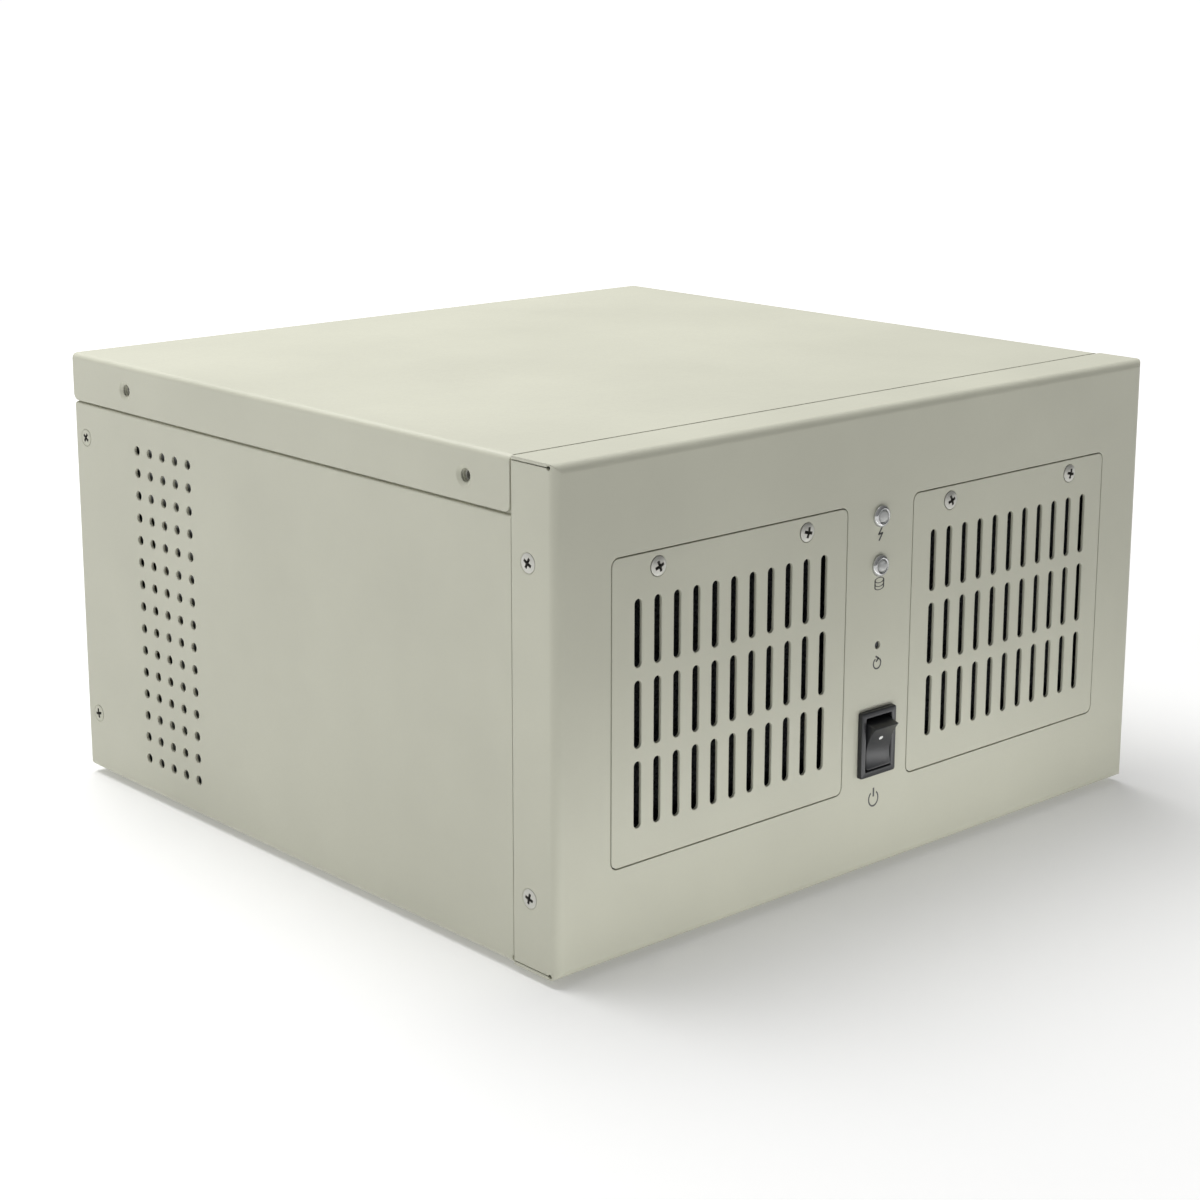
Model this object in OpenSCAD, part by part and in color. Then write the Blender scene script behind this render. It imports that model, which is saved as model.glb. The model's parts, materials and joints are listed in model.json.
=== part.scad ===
// Squat industrial desktop computer: folded sheet case, two filter doors and its working insides.
// Millimetres, +Z up, the front faces -Y, the feet stand on Z = 0.

/* [Case] */
// Width of the case, side to side
case_w = 340; // [336:1:420]
// Depth of the case, front face to the lid's rear edge
case_d = 325; // [322:1:420]
// Height of the case without its feet
case_h = 191; // [180:1:240]
// Thickness of the case's folded sheet steel
sheet = 1.2; // [0.8:0.1:1.6]
// Outside radius of the folded edges
bend_r = 2.5; // [2:0.1:4]
// Outside radius of the bezel's front edges
bezel_r = 3.5; // [2.2:0.1:5]
// Depth of the bezel's flanges, front to back
bezel_d = 23.4; // [22:0.1:30]
// Open seam around the lid
seam = 0.9; // [0.4:0.1:1.2]
// Tight seam between the bezel and the walls
wall_seam = 0.3; // [0.1:0.1:0.8]
// Height of the lid's side flanges
lid_flange_h = 20.8; // [16:0.1:30]
// Running gap between the lid and what stands under it
lid_gap = 0.4; // [0.3:0.05:0.8]
// How far the lid reaches past the rear ends of the walls
lid_overhang = 1; // [0:0.1:3]
// Radius of the lid flanges' lower corners
lid_corner_r = 3; // [1:0.1:6]
// Distance from the front face to the lid's front holes
lid_hole_front = 50.1; // [40:0.1:80]
// Distance from the rear edge to the lid's rear holes
lid_hole_rear = 43; // [30:0.1:80]

/* [Feet and bracket holes] */
// Height of the rubber feet
foot_h = 3; // [2:0.5:6]
// Radius of the rubber feet
foot_r = 9; // [6:0.5:12]
// Distance of the feet from the edges of the floor
foot_inset = 34; // [25:1:50]
// Radius of the wall bracket holes in the floor
bracket_r = 2.25; // [1.8:0.05:2.6]
// Distance between the bracket holes, side to side
bracket_x = 220; // [200:1:230]
// Distance between the bracket holes, front to back
bracket_y = 230; // [220:1:240]

/* [Grille doors] */
// Width of a grille door
door_w = 123.5; // [96:0.1:126]
// Height of a grille door
door_h = 116.8; // [96:0.1:124]
// Height of the doors' lower edge above the case floor
door_z = 36.3; // [20:0.1:45]
// Width of the strip between the doors
strip_w = 39.3; // [32:0.1:46]
// Gap around a door
door_gap = 0.5; // [0.3:0.1:1]
// Corner radius of a door
door_r = 3; // [2:0.1:6]
// Depth of a door's folded rim
door_rim = 5; // [4:0.1:6]
// Width of a slot
slot_w = 3.7; // [2:0.1:5]
// Height of a slot
slot_h = 25.8; // [15:0.1:30]
// Distance between slot columns
slot_pitch = 9.8; // [7:0.1:14]
// Distance between slot rows
row_pitch = 30.7; // [28:0.1:40]
// Height of the lowest slots above the door's lower edge
row_start = 13.2; // [10:0.1:20]
// Distance of a door screw from the door's side edge
door_screw_in = 22.65; // [12:0.05:30]
// Distance of a door screw below the door's upper edge
door_screw_down = 5.9; // [5.5:0.1:8]

/* [Vents] */
// Radius of a vent hole
vent_r = 2.1; // [1:0.1:3]
// Distance between vent holes
vent_pitch = 9.9; // [7:0.1:14]
// Columns of vent holes in the left wall
vent_cols = 5; // [1:1:6]
// Rows of vent holes in the left wall
vent_rows = 15; // [1:1:15]
// Distance of the vent's rearmost column from the rear edge
vent_rear = 51.3; // [30:0.1:80]
// Height of the lowest vent holes above the case floor
vent_z = 15.9; // [8:0.1:30]

/* [Front controls] */
// Height of the upper light above the case floor
light_z = 147.1; // [140:0.1:150]
// Distance between the two lights
light_pitch = 20.1; // [18:0.1:24]
// Outside radius of a light's chrome holder
light_r = 4.5; // [4:0.1:5]
// Height of the reset hole above the case floor
reset_z = 94.3; // [90:0.1:100]
// Radius of the reset hole
reset_r = 1.6; // [1.4:0.1:2]
// Travel of the reset button
reset_travel = 0.6; // [0.3:0.1:1]
// Height of the power rocker's centre above the case floor
rocker_z = 54.2; // [48:0.1:60]
// Width of the power rocker's frame
rocker_w = 20.5; // [19:0.1:24]
// Height of the power rocker's frame
rocker_h = 27.5; // [26:0.1:30]
// Tilt of a rocker to either side of its middle
rocker_tilt = 12; // [8:0.5:13]

/* [Fans] */
// Outside size of a front fan
fan_size = 92; // [76:1:100]
// Distance of a front fan's screws from its edges
fan_screw_in = 4.75; // [4:0.05:6]
// Distance of the smaller fans' screws from their edges
small_screw_in = 4.25; // [4:0.05:5]
// Depth of every fan frame
fan_depth = 25; // [20:1:26]
// Outside size of the processor fan
cpu_fan_size = 80; // [60:1:92]
// Outside size of the power supply's fan
psu_fan_size = 78; // [60:1:80]

/* [Power supply] */
// Width of the power supply, which stands on its side
psu_w = 86; // [80:1:86]
// Length of the power supply, front to back
psu_d = 140; // [120:1:145]
// Height of the power supply on its side
psu_h = 150; // [145:1:160]
// Height of the ledges under the power supply
psu_lift = 9; // [4:0.5:12]

/* [Motherboard] */
// Width of the motherboard
board_w = 244; // [240:1:245]
// Depth of the motherboard
board_d = 244; // [200:1:245]
// Height of the standoffs under the motherboard
standoff_h = 6.5; // [5:0.5:10]
// Distance between expansion slots
slot_step = 20.32; // [20:0.01:20.5]
// Number of expansion slots
slot_count = 4; // [1:1:4]

/* [Drive] */
// Thickness of the hard drive
drive_t = 26.1; // [15:0.1:26.1]
// Length of the hard drive
drive_l = 147; // [100:1:147]
// Width of the hard drive
drive_w = 101.6; // [70:0.1:101.6]

/* [Hidden] */
$fn = 48;
eps = 0.01;
board_t = 1.6;
psu_wall = 1;
cover_t = 0.9;
ledge_reach = 11;
slit = 0.4;

// Rockers: [paddle width, back, back half height, front, front half height, hollow, pin radius]
power_rocker = [14.2, 3, 10, 6.6, 9.2, 2.4, 1.2];
supply_rocker = [9.4, 2.2, 6.8, 5, 6.4, 1.4, 0.9];
rocker_flange = 2.2;
rocker_inset = 1.8;
supply_flange = 1.8;
supply_inset = 1.4;
supply_rocker_w = 15;
supply_rocker_h = 21;
pin_gap = 0.06;

// The origin is the middle of the whole object's base, so the front face lies back by half of what
// the rocker reaches out in front less half of what the expansion ledge reaches out behind.
rocker_reach = power_rocker[3] * cos(rocker_tilt) + power_rocker[4] * sin(rocker_tilt) - rocker_inset;
front_y = round(50 * (rocker_reach - case_d - ledge_reach + lid_overhang)) / 100;
function py(d) = front_y + d; // a place d behind the front face
function pz(h) = foot_h + h; // a place h above the case floor

half_w = case_w / 2;
pan_y = py(bezel_d + wall_seam);
rear_y = py(case_d - lid_overhang);
inner_x = half_w - sheet;
lip_x = inner_x - lid_gap;
wall_h = case_h - lid_flange_h - seam;
lip_h = case_h - sheet - lid_gap;
side_lip_h = case_h - max(sheet + lid_gap, bend_r); // clear of the lid's inner bend
lip_reach = 5;
step_z = sheet + 0.2;
lid_y = py(bezel_d + seam);
lid_len = py(case_d) - lid_y;
lid_hole_z = pz(case_h - 11.5);
lid_holes = [py(lid_hole_front), py(case_d - lid_hole_rear)];
bezel_screw_y = py(14.7);
bezel_screws = [pz(28.1), pz(case_h - 37.3)];
rear_screw_y = rear_y - 7.8;
rear_screws = [pz(26.6), pz(case_h - 37)];
sink_r = 4.2;
clear_r = 2.4;
plate_y = py(20);
flange_d = 14; // depth of the stiffening flanges along the upper edges
side_flange_d = 10;
lip_low = 8;
floor_lip_in = 20;

door_x = strip_w / 2 + door_w / 2;
door_mid_z = pz(door_z + door_h / 2);
door_top = pz(door_z + door_h);
cols = floor((door_w - 2 * 10.8) / slot_pitch) + 1;
rows = floor((door_h - row_start - slot_h - 15) / row_pitch) + 1;
door_screw_x = door_w / 2 - door_screw_in;
door_screw_z = door_top - door_screw_down;
tray_x = door_w / 2 + door_gap + 1;
tray_low = pz(door_z - 6);
tray_high = door_top + 1.5;
tray_d = 14;
tray_wall = 1;
strip_y = py(5.8);
strip_low = door_top - 11;
nut_r = 1.9;
fan_z = pz(door_z + row_start + ((rows - 1) * row_pitch + slot_h) / 2);
fan_y = plate_y + sheet;
fan_pitch = fan_size - 2 * fan_screw_in;
fan_hole_r = 2.1;
controls_z = 74;
front_board_y = 11;
controls_h = 92;

psu_x = -inner_x + 3.3;
psu_mid = psu_x + psu_w / 2;
psu_y = rear_y - sheet;
psu_z = pz(sheet + psu_lift);
psu_top = psu_z + psu_h;
psu_screw_in = 6;
inlet_z = psu_z + psu_h - 38;
psu_fan_z = psu_z + psu_h - 100;
inlet_x = psu_mid - 12;
supply_rocker_x = psu_mid + 26;

board_x1 = inner_x - 2.5;
board_x0 = board_x1 - board_w;
board_y1 = rear_y - sheet - 1.5;
board_y0 = board_y1 - board_d;
board_z = pz(sheet + standoff_h);
board_top = board_z + board_t;
io_w = 158.75;
io_h = 44.45;
io_x1 = board_x1 - 3.2;
io_x0 = io_x1 - io_w;
io_z = board_top - 3.8;
ledge_z = board_top + 106;
ledge_end = 11;
card_screw_out = 6;
card_screw_r = 1.75;
card_half_w = 9.2;
function slot_x(k) = io_x0 - 9.6 - slot_step * k;
cpu_x = board_x1 - 100;
cpu_y = board_y1 - 92;
cooler_w = 88;
cooler_h = 42;

drive_gap = 0.2; // between the drive and the front plate's side flange
drive_x = 2 * sheet - lip_x + drive_gap;
drive_y = py(24);
drive_z = pz(8);
bracket_face = drive_x + drive_t;

// Plugs and sockets: [x, y, width, depth, height] on the motherboard
power_socket = [board_x1 - 66, board_y0 + 4, 52, 10, 13];
cpu_socket_plug = [board_x1 - 16, board_y1 - 52, 10, 20, 13];
data_sockets = [board_x0 + 26, board_y0 + 6, 34, 17, 9];
panel_header = [board_x0 + 94, board_y0 + 5, 26, 6, 9];

// ---- Shared shapes ----

// A box between two corners
module box(low, high) {
    translate(low)
        cube(high - low);
}

// Extrusions of a 2D shape along each axis, from a start over a length
module along_x(x, len) {
    rotate([90, 0, 90])
        translate([0, 0, x])
            linear_extrude(len)
                children();
}

module along_y(y, len) {
    translate([0, y + len, 0])
        rotate([90, 0, 0])
            linear_extrude(len)
                children();
}

module along_z(z, len) {
    translate([0, 0, z])
        linear_extrude(len)
            children();
}

// Round rods along each axis, starting at a point
module rod_x(at, len, r) {
    translate(at)
        rotate([0, 90, 0])
            cylinder(h = len, r = r);
}

module rod_y(at, len, r) {
    translate(at)
        rotate([-90, 0, 0])
            cylinder(h = len, r = r);
}

module rod_z(at, len, r) {
    translate(at)
        cylinder(h = len, r = r);
}

// A rectangle with round corners, centred
module rounded(w, h, r) {
    square([w - 2 * r, h], center = true);
    square([w, h - 2 * r], center = true);
    for (sx = [-1, 1], sy = [-1, 1])
        translate([sx * (w / 2 - r), sy * (h / 2 - r)])
            circle(r);
}

// A rectangle that stands on zero with round upper corners
module hood(w, h, r) {
    translate([-w / 2, 0])
        square([w, h - r]);
    translate([-w / 2 + r, 0])
        square([w - 2 * r, h]);
    for (s = [-1, 1])
        translate([s * (w / 2 - r), h - r])
            circle(r);
}

// A rectangle from zero along x with round corners at zero
module nose(d, w, r) {
    translate([r, -w / 2])
        square([d - r, w]);
    translate([0, r - w / 2])
        square([d, w - 2 * r]);
    for (s = [-1, 1])
        translate([r, s * (w / 2 - r)])
            circle(r);
}

// A quarter of a ring in the first quadrant
module quarter_ring(r, wall) {
    intersection() {
        difference() {
            circle(r);
            circle(r - wall);
        }
        square(r);
    }
}

// A dimpled hole in a side wall: side is -1 or 1, and the cone opens outwards
module side_sink(side, y, z) {
    translate([side * half_w, y, z])
        rotate([0, -side * 90, 0]) {
            translate([0, 0, -1])
                cylinder(h = sheet + 2, r = clear_r);
            cylinder(h = sheet, r1 = sink_r, r2 = clear_r);
        }
}

// A flat-head screw with a cross recess: its head lies just under z = 0, its shank runs to -z
module flat_screw(head_r, head_h, shank_r, len) {
    difference() {
        union() {
            translate([0, 0, -0.15 - head_h])
                cylinder(h = head_h, r1 = shank_r + 0.2, r2 = head_r);
            translate([0, 0, -len])
                cylinder(h = len - head_h, r = shank_r);
        }
        for (a = [0, 90])
            rotate([0, 0, a])
                translate([0, 0, -0.6])
                    cube([head_r * 1.25, head_r * 0.28, 1.2], center = true);
    }
}

// A hexagon-head screw with a cross recess: it stands on z = 0 with its shank below
module hex_screw(len) {
    difference() {
        union() {
            cylinder(h = 0.6, r = 4);
            cylinder(h = 2.4, r = 3.3, $fn = 6);
            translate([0, 0, -len])
                cylinder(h = len + eps, r = 1.6);
        }
        for (a = [0, 90])
            rotate([0, 0, a])
                translate([0, 0, 2.4])
                    cube([3.6, 0.9, 2], center = true);
    }
}

// A grid of round holes along x through a wall, from a lowest corner
module vent_grid(x, len, y, z, across, up) {
    for (i = [0 : across - 1], k = [0 : up - 1])
        rod_x([x, y + i * vent_pitch, z + k * vent_pitch], len, vent_r);
}

// ---- Fans: the air runs along +z, from 0 to the frame's depth ----

fan_wall = 1.6;
fan_flange = 3.5;
hub_mount = 3;
shaft_r = 1.5;
function bore_of(size) = size / 2 - 2.4;
function hub_of(size) = size * 0.17;

module fan_frame(size, screw_in, depth) {
    bore = bore_of(size);
    pitch = size - 2 * screw_in;
    difference() {
        union() {
            for (z = [0, depth - fan_flange])
                translate([0, 0, z])
                    linear_extrude(fan_flange)
                        rounded(size, size, 4);
            cylinder(h = depth, r = bore + fan_wall);
        }
        translate([0, 0, -1])
            cylinder(h = depth + 2, r = bore);
        for (sx = [-1, 1], sy = [-1, 1])
            translate([sx * pitch / 2, sy * pitch / 2, -1])
                cylinder(h = depth + 2, r = fan_hole_r);
    }
    difference() {
        translate([0, 0, depth - hub_mount])
            union() {
                cylinder(h = hub_mount, r = hub_of(size) + 0.6);
                for (a = [45 : 90 : 315])
                    rotate([0, 0, a])
                        translate([hub_of(size), -1.5, 0])
                            cube([bore + fan_wall / 2 - hub_of(size), 3, hub_mount]);
            }
        translate([0, 0, depth - hub_mount - 1])
            cylinder(h = hub_mount + 0.2, r = shaft_r + 0.05);
    }
}

module fan_rotor(size, depth) {
    tip = bore_of(size) - 0.9;
    hub = hub_of(size);
    low = 1.2;
    high = depth - hub_mount - 1;
    translate([0, 0, low])
        cylinder(h = high - low, r = hub);
    translate([0, 0, high - eps])
        cylinder(h = 2.6, r = shaft_r);
    intersection() {
        translate([0, 0, low])
            cylinder(h = high - low, r = tip);
        for (k = [0 : 6])
            rotate([0, 0, k * 360 / 7])
                translate([(hub + tip) / 2, 0, (low + high) / 2])
                    rotate([38, 0, 0])
                        cube([tip - hub + 4, 1.4, 24], center = true);
    }
}

// ---- Rockers: the pivot is at the origin, the face looks along -y ----

module rocker_paddle_shape(p) {
    hollow_r = (p[4] * p[4] + p[5] * p[5]) / (2 * p[5]);
    difference() {
        along_x(-p[0] / 2, p[0])
            polygon([[-p[3], -p[4]], [-p[3], p[4]], [p[1], p[2]], [p[1], -p[2]]]);
        along_x(-p[0], 2 * p[0])
            translate([-p[3] + p[5] - hollow_r, 0])
                circle(hollow_r, $fn = 96);
    }
    rod_x([-p[0] / 2 - 1.4, 0, 0], p[0] + 2.8, p[6]);
}

module rocker_housing_shape(p, w, h, flange, inset, depth) {
    window_w = p[0] + 0.6;
    window_h = 2 * p[2] + 2;
    body_w = w - 2.1;
    body_h = h - 2.1;
    difference() {
        union() {
            along_y(-inset - flange, flange)
                rounded(w, h, 1);
            along_y(-inset - eps, depth)
                rounded(body_w, body_h, 0.6);
        }
        along_y(-inset - flange - 1, inset + flange + 1 + p[1] + 3.2)
            square([window_w, window_h], center = true);
        rod_x([-w, 0, 0], 2 * w, p[6] + pin_gap);
    }
}

// ---- Cables: a round tube swept along smoothed points ----

function unit(v) = v / norm(v);
function blend(p, i, t) =
    let (
        a = p[max(i - 1, 0)],
        b = p[i],
        c = p[i + 1],
        d = p[min(i + 2, len(p) - 1)]
    )
    0.5 * (2 * b + (c - a) * t + (2 * a - 5 * b + 4 * c - d) * t * t + (3 * b - a - 3 * c + d) * t * t * t);
function smooth(p, steps) = concat(
    [for (i = [0 : len(p) - 2], s = [0 : steps - 1]) blend(p, i, s / steps)],
    [p[len(p) - 1]]
);
function heading(p, i) = unit(p[min(i + 1, len(p) - 1)] - p[max(i - 1, 0)]);
function flat_to(n, t) = unit(n - (n * t) * t);
function normals(p, i, n) =
    i == len(p) ? [] : let (m = flat_to(n, heading(p, i))) concat([m], normals(p, i + 1, m));

module cable(points, r, side, steps = 4, sides = 8) {
    p = smooth(points, steps);
    n = normals(p, 0, side);
    last = len(p) - 1;
    corners = [
        for (i = [0 : last], k = [0 : sides - 1])
            let (a = 360 * k / sides, b = cross(heading(p, i), n[i]))
                p[i] + r * (cos(a) * n[i] + sin(a) * b)
    ];
    skin = [
        for (i = [0 : last - 1], k = [0 : sides - 1])
            let (q = (k + 1) % sides)
                [i * sides + k, (i + 1) * sides + k, (i + 1) * sides + q, i * sides + q]
    ];
    ends = [[for (k = [0 : sides - 1]) k], [for (k = [0 : sides - 1]) (last + 1) * sides - 1 - k]];
    polyhedron(points = corners, faces = concat(skin, ends));
}

// ---- Case ----

module wall_profile() {
    translate([inner_x, pz(bend_r)])
        square([sheet, wall_h - bend_r - sheet]);
    translate([inner_x, pz(wall_h - sheet)])
        intersection() {
            circle(sheet);
            square(sheet);
        }
    translate([lip_x - sheet, pz(wall_h - sheet)])
        square([sheet + lid_gap + eps, sheet]);
    translate([lip_x - sheet, pz(wall_h - sheet)])
        square([sheet, side_lip_h - wall_h + sheet]);
    translate([half_w - bend_r, pz(bend_r)])
        mirror([0, 1])
            quarter_ring(bend_r, sheet);
    translate([-eps, pz(0)])
        square([half_w - bend_r + eps, sheet]);
}

module base_pan() {
    color("#b8b8a6")
    difference() {
        union() {
            along_y(pan_y, rear_y - pan_y)
                for (m = [0, 1])
                    mirror([m, 0])
                        wall_profile();
            for (m = [0, 1])
                mirror([m, 0, 0]) {
                    box([lip_x - sheet, py(lip_reach), pz(lip_low)],
                        [lip_x, pan_y + sheet, pz(case_h - lip_low)]);
                    box([lip_x - sheet, pan_y, pz(lip_low)],
                        [inner_x + eps, pan_y + sheet, pz(wall_h - sheet)]);
                }
            box([floor_lip_in - half_w, py(lip_reach), pz(step_z)],
                [half_w - floor_lip_in, pan_y + sheet, pz(step_z + sheet)]);
            box([floor_lip_in - half_w, pan_y, pz(sheet / 2)],
                [half_w - floor_lip_in, pan_y + sheet, pz(step_z + sheet)]);
        }
        for (side = [-1, 1]) {
            for (z = rear_screws)
                side_sink(side, rear_screw_y, z);
            for (z = bezel_screws)
                rod_x([side * lip_x - 3, bezel_screw_y, z], 6, clear_r);
            for (y = lid_holes)
                rod_x([side * lip_x - 3, y, lid_hole_z], 6, clear_r);
        }
        for (m = [0, 1])
            mirror([m, 0, 0])
                box([inner_x - eps, pan_y - 1, pz(-1)], [half_w + 1, pan_y + 0.8, pz(3.2)]);
        vent_grid(-half_w - 1, sheet + 2, py(case_d - vent_rear - (vent_cols - 1) * vent_pitch),
            pz(vent_z), vent_cols, vent_rows);
        for (sx = [-1, 1], sy = [-1, 1])
            rod_z([sx * bracket_x / 2, py(case_d / 2) + sy * bracket_y / 2, pz(-1)], sheet + 2, bracket_r);
    }
}

module front_plate() {
    color("#b3b4a2")
    difference() {
        union() {
            box([-lip_x + sheet, plate_y, pz(step_z + sheet)], [lip_x - sheet, plate_y + sheet, pz(lip_h)]);
            box([-lip_x + sheet, plate_y, pz(lip_h - sheet)], [lip_x - sheet, plate_y + flange_d, pz(lip_h)]);
            for (m = [0, 1])
                mirror([m, 0, 0])
                    box([lip_x - 2 * sheet, plate_y, pz(12)],
                        [lip_x - sheet, plate_y + side_flange_d, pz(case_h - flange_d)]);
        }
        for (side = [-1, 1])
            translate([side * door_x, 0, fan_z]) {
                rod_y([0, plate_y - 1, 0], sheet + 2, bore_of(fan_size) - 1);
                for (sx = [-1, 1], sz = [-1, 1])
                    rod_y([sx * fan_pitch / 2, plate_y - 1, sz * fan_pitch / 2], sheet + 2, fan_hole_r);
            }
        translate([0, 0, pz(controls_z)])
            along_y(plate_y - 1, sheet + 2)
                rounded(strip_w - 12, controls_h, 3);
    }
}

module rear_panel() {
    low_h = wall_h - sheet - 1;
    air_z = io_z + io_h + 18;
    color("#b3b4a2")
    difference() {
        union() {
            box([-half_w + bend_r, rear_y - sheet, pz(sheet)], [half_w - bend_r, rear_y, pz(bend_r + 1)]);
            box([-inner_x, rear_y - sheet, pz(bend_r)], [inner_x, rear_y, pz(low_h)]);
            box([-lip_x + sheet, rear_y - sheet, pz(low_h - eps)], [lip_x - sheet, rear_y, pz(lip_h)]);
            box([-lip_x + sheet, rear_y - flange_d, pz(lip_h - sheet)], [lip_x - sheet, rear_y, pz(lip_h)]);
            for (m = [0, 1])
                mirror([m, 0, 0])
                    box([inner_x - sheet, rear_y - flange_d, pz(16)], [inner_x, rear_y - eps, pz(low_h)]);
            box([slot_x(slot_count - 1) - ledge_end, rear_y - eps, ledge_z - sheet],
                [slot_x(0) + ledge_end, rear_y + ledge_reach, ledge_z]);
        }
        for (side = [-1, 1], z = rear_screws)
            rod_x([side * inner_x - 3, rear_screw_y, z], 6, clear_r);
        translate([(io_x0 + io_x1) / 2, 0, io_z + io_h / 2])
            along_y(rear_y - 3, 6)
                rounded(io_w, io_h, 1);
        for (k = [0 : slot_count - 1]) {
            translate([slot_x(k), 0, board_top + 48])
                along_y(rear_y - 3, 6)
                    rounded(13, 100, 1);
            rod_z([slot_x(k), rear_y + card_screw_out, ledge_z - sheet - 1], sheet + 2, card_screw_r);
        }
        box([slot_x(slot_count - 1) - ledge_end + 0.5, rear_y - 3, ledge_z],
            [slot_x(0) + ledge_end - 0.5, rear_y + 3, ledge_z + 10]);
        translate([psu_mid, 0, psu_z + psu_h / 2])
            along_y(rear_y - 3, 6) {
                rounded(psu_w - 10, psu_h - 22, 5);
                for (sx = [-1, 1], sz = [-1, 1])
                    translate([sx * (psu_w / 2 - psu_screw_in), sz * (psu_h / 2 - psu_screw_in)])
                        circle(1.9);
            }
        for (i = [0 : 12], k = [0 : 9])
            rod_y([io_x0 + 16 + i * vent_pitch, rear_y - 3, air_z + k * vent_pitch], 6, vent_r);
    }
}

module lid() {
    flange_z = pz(case_h - lid_flange_h);
    color("#dcddcf")
    difference() {
        intersection() {
            along_y(lid_y, lid_len)
                difference() {
                    translate([0, flange_z])
                        hood(case_w, lid_flange_h, bend_r);
                    translate([0, flange_z - 1])
                        hood(case_w - 2 * sheet, lid_flange_h - sheet + 1, bend_r - sheet);
                }
            along_x(-half_w - 1, case_w + 2)
                translate([lid_y + lid_len / 2, flange_z + lid_flange_h])
                    rounded(lid_len, 2 * lid_flange_h, lid_corner_r);
        }
        for (side = [-1, 1], y = lid_holes)
            side_sink(side, y, lid_hole_z);
    }
}

module lid_nuts() {
    color("silver")
    for (side = [-1, 1], y = lid_holes)
        translate([side * (lip_x - sheet), y, lid_hole_z])
            rotate([0, -side * 90, 0])
                difference() {
                    cylinder(h = 2.2, r = 4);
                    translate([0, 0, -1])
                        cylinder(h = 4.2, r = 1.7);
                }
}

module feet() {
    color("#2a2a2a")
    for (sx = [-1, 1], y = [py(foot_inset), rear_y - foot_inset])
        translate([sx * (half_w - foot_inset), y, 0])
            difference() {
                cylinder(h = foot_h, r1 = foot_r - 1, r2 = foot_r);
                translate([0, 0, -eps])
                    cylinder(h = eps + foot_h / 2, r = foot_r / 3);
            }
}

module front_bezel() {
    color("#a9ad9b")
    difference() {
        union() {
            difference() {
                intersection() {
                    along_x(-half_w, case_w)
                        translate([py(0), pz(case_h / 2)])
                            nose(bezel_d, case_h, bezel_r);
                    along_z(pz(0), case_h)
                        translate([0, py(0)])
                            rotate(90)
                                nose(bezel_d, case_w, bezel_r);
                }
                intersection() {
                    along_x(-inner_x, 2 * inner_x)
                        translate([py(sheet), pz(case_h / 2)])
                            nose(bezel_d, case_h - 2 * sheet, bezel_r - sheet);
                    along_z(pz(sheet), case_h - 2 * sheet)
                        translate([0, py(sheet)])
                            rotate(90)
                                nose(bezel_d, 2 * inner_x, bezel_r - sheet);
                }
            }
            for (z = [light_z - light_pitch / 2, reset_z - 8.5])
                rod_y([0, py(sheet - eps), pz(z)], front_board_y - sheet, 2);
        }
        for (side = [-1, 1]) {
            translate([side * door_x, 0, door_mid_z])
                along_y(py(-1), 3)
                    rounded(door_w + 2 * door_gap, door_h + 2 * door_gap, door_r + door_gap);
            for (z = bezel_screws)
                side_sink(side, bezel_screw_y, z);
            for (z = [pz(sheet), pz(case_h - sheet - slit)])
                box([side * half_w - 1.3 * sheet, py(bezel_r), z],
                    [side * half_w + 1.3 * sheet, py(bezel_d + 1), z + slit]);
            for (z = [pz(sheet + slit / 2), pz(case_h - sheet - slit / 2)])
                rod_x([side * half_w - 1.3 * sheet, py(bezel_r), z], 2.6 * sheet, 0.9);
        }
        for (z = [light_z, light_z - light_pitch])
            rod_y([0, py(-1), pz(z)], sheet + 2, light_r - 0.6);
        rod_y([0, py(-1), pz(reset_z)], sheet + 2, reset_r);
        translate([0, 0, pz(rocker_z)])
            along_y(py(-1), sheet + 2)
                rounded(rocker_w - 1.8, rocker_h - 1.8, 0.6);
    }
}

module case_screws() {
    color("#a9ab99")
    for (side = [-1, 1]) {
        for (z = bezel_screws)
            translate([side * half_w, bezel_screw_y, z])
                rotate([0, side * 90, 0])
                    flat_screw(3.7, 1.1, 1.9, 7);
        for (z = rear_screws)
            translate([side * half_w, rear_screw_y, z])
                rotate([0, side * 90, 0])
                    flat_screw(3.7, 1.1, 1.9, 4);
    }
}

// ---- Grille doors, with the captive screws that ride on them ----

module door(side) {
    translate([side * door_x, 0, 0])
        difference() {
            union() {
                translate([0, 0, door_mid_z])
                    along_y(py(0), door_rim)
                        difference() {
                            rounded(door_w, door_h, door_r);
                            rounded(door_w - 2 * sheet, door_h - 2 * sheet, door_r - sheet);
                        }
                translate([0, 0, door_mid_z])
                    along_y(py(0), sheet)
                        rounded(door_w, door_h, door_r);
                for (s = [-1, 1]) {
                    rod_y([s * door_screw_x, py(0), door_screw_z], 2.8, 5.2);
                    box([s * door_w / 4 - 7, py(2), pz(door_z - 4.5)],
                        [s * door_w / 4 + 7, py(2) + sheet, pz(door_z + 1)]);
                }
            }
            for (i = [0 : cols - 1], k = [0 : rows - 1])
                translate([(i - (cols - 1) / 2) * slot_pitch, 0,
                    pz(door_z + row_start + slot_h / 2 + k * row_pitch)])
                    along_y(py(-1), sheet + 2)
                        rounded(slot_w, slot_h, slot_w / 2 - eps);
            for (s = [-1, 1])
                translate([s * door_screw_x, py(0), door_screw_z])
                    rotate([-90, 0, 0]) {
                        translate([0, 0, -1])
                            cylinder(h = 6, r = 1.7);
                        cylinder(h = 2.3, r1 = 4.1, r2 = 1.7);
                    }
        }
}

module door_screws(side) {
    for (s = [-1, 1])
        translate([side * door_x + s * door_screw_x, py(0), door_screw_z])
            rotate([90, 0, 0])
                flat_screw(3.75, 2.1, 1.5, 8.2);
}

module left_door() {
    color("#a9ad9b")
        door(-1);
}

module right_door() {
    color("#a9ad9b")
        door(1);
}

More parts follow.
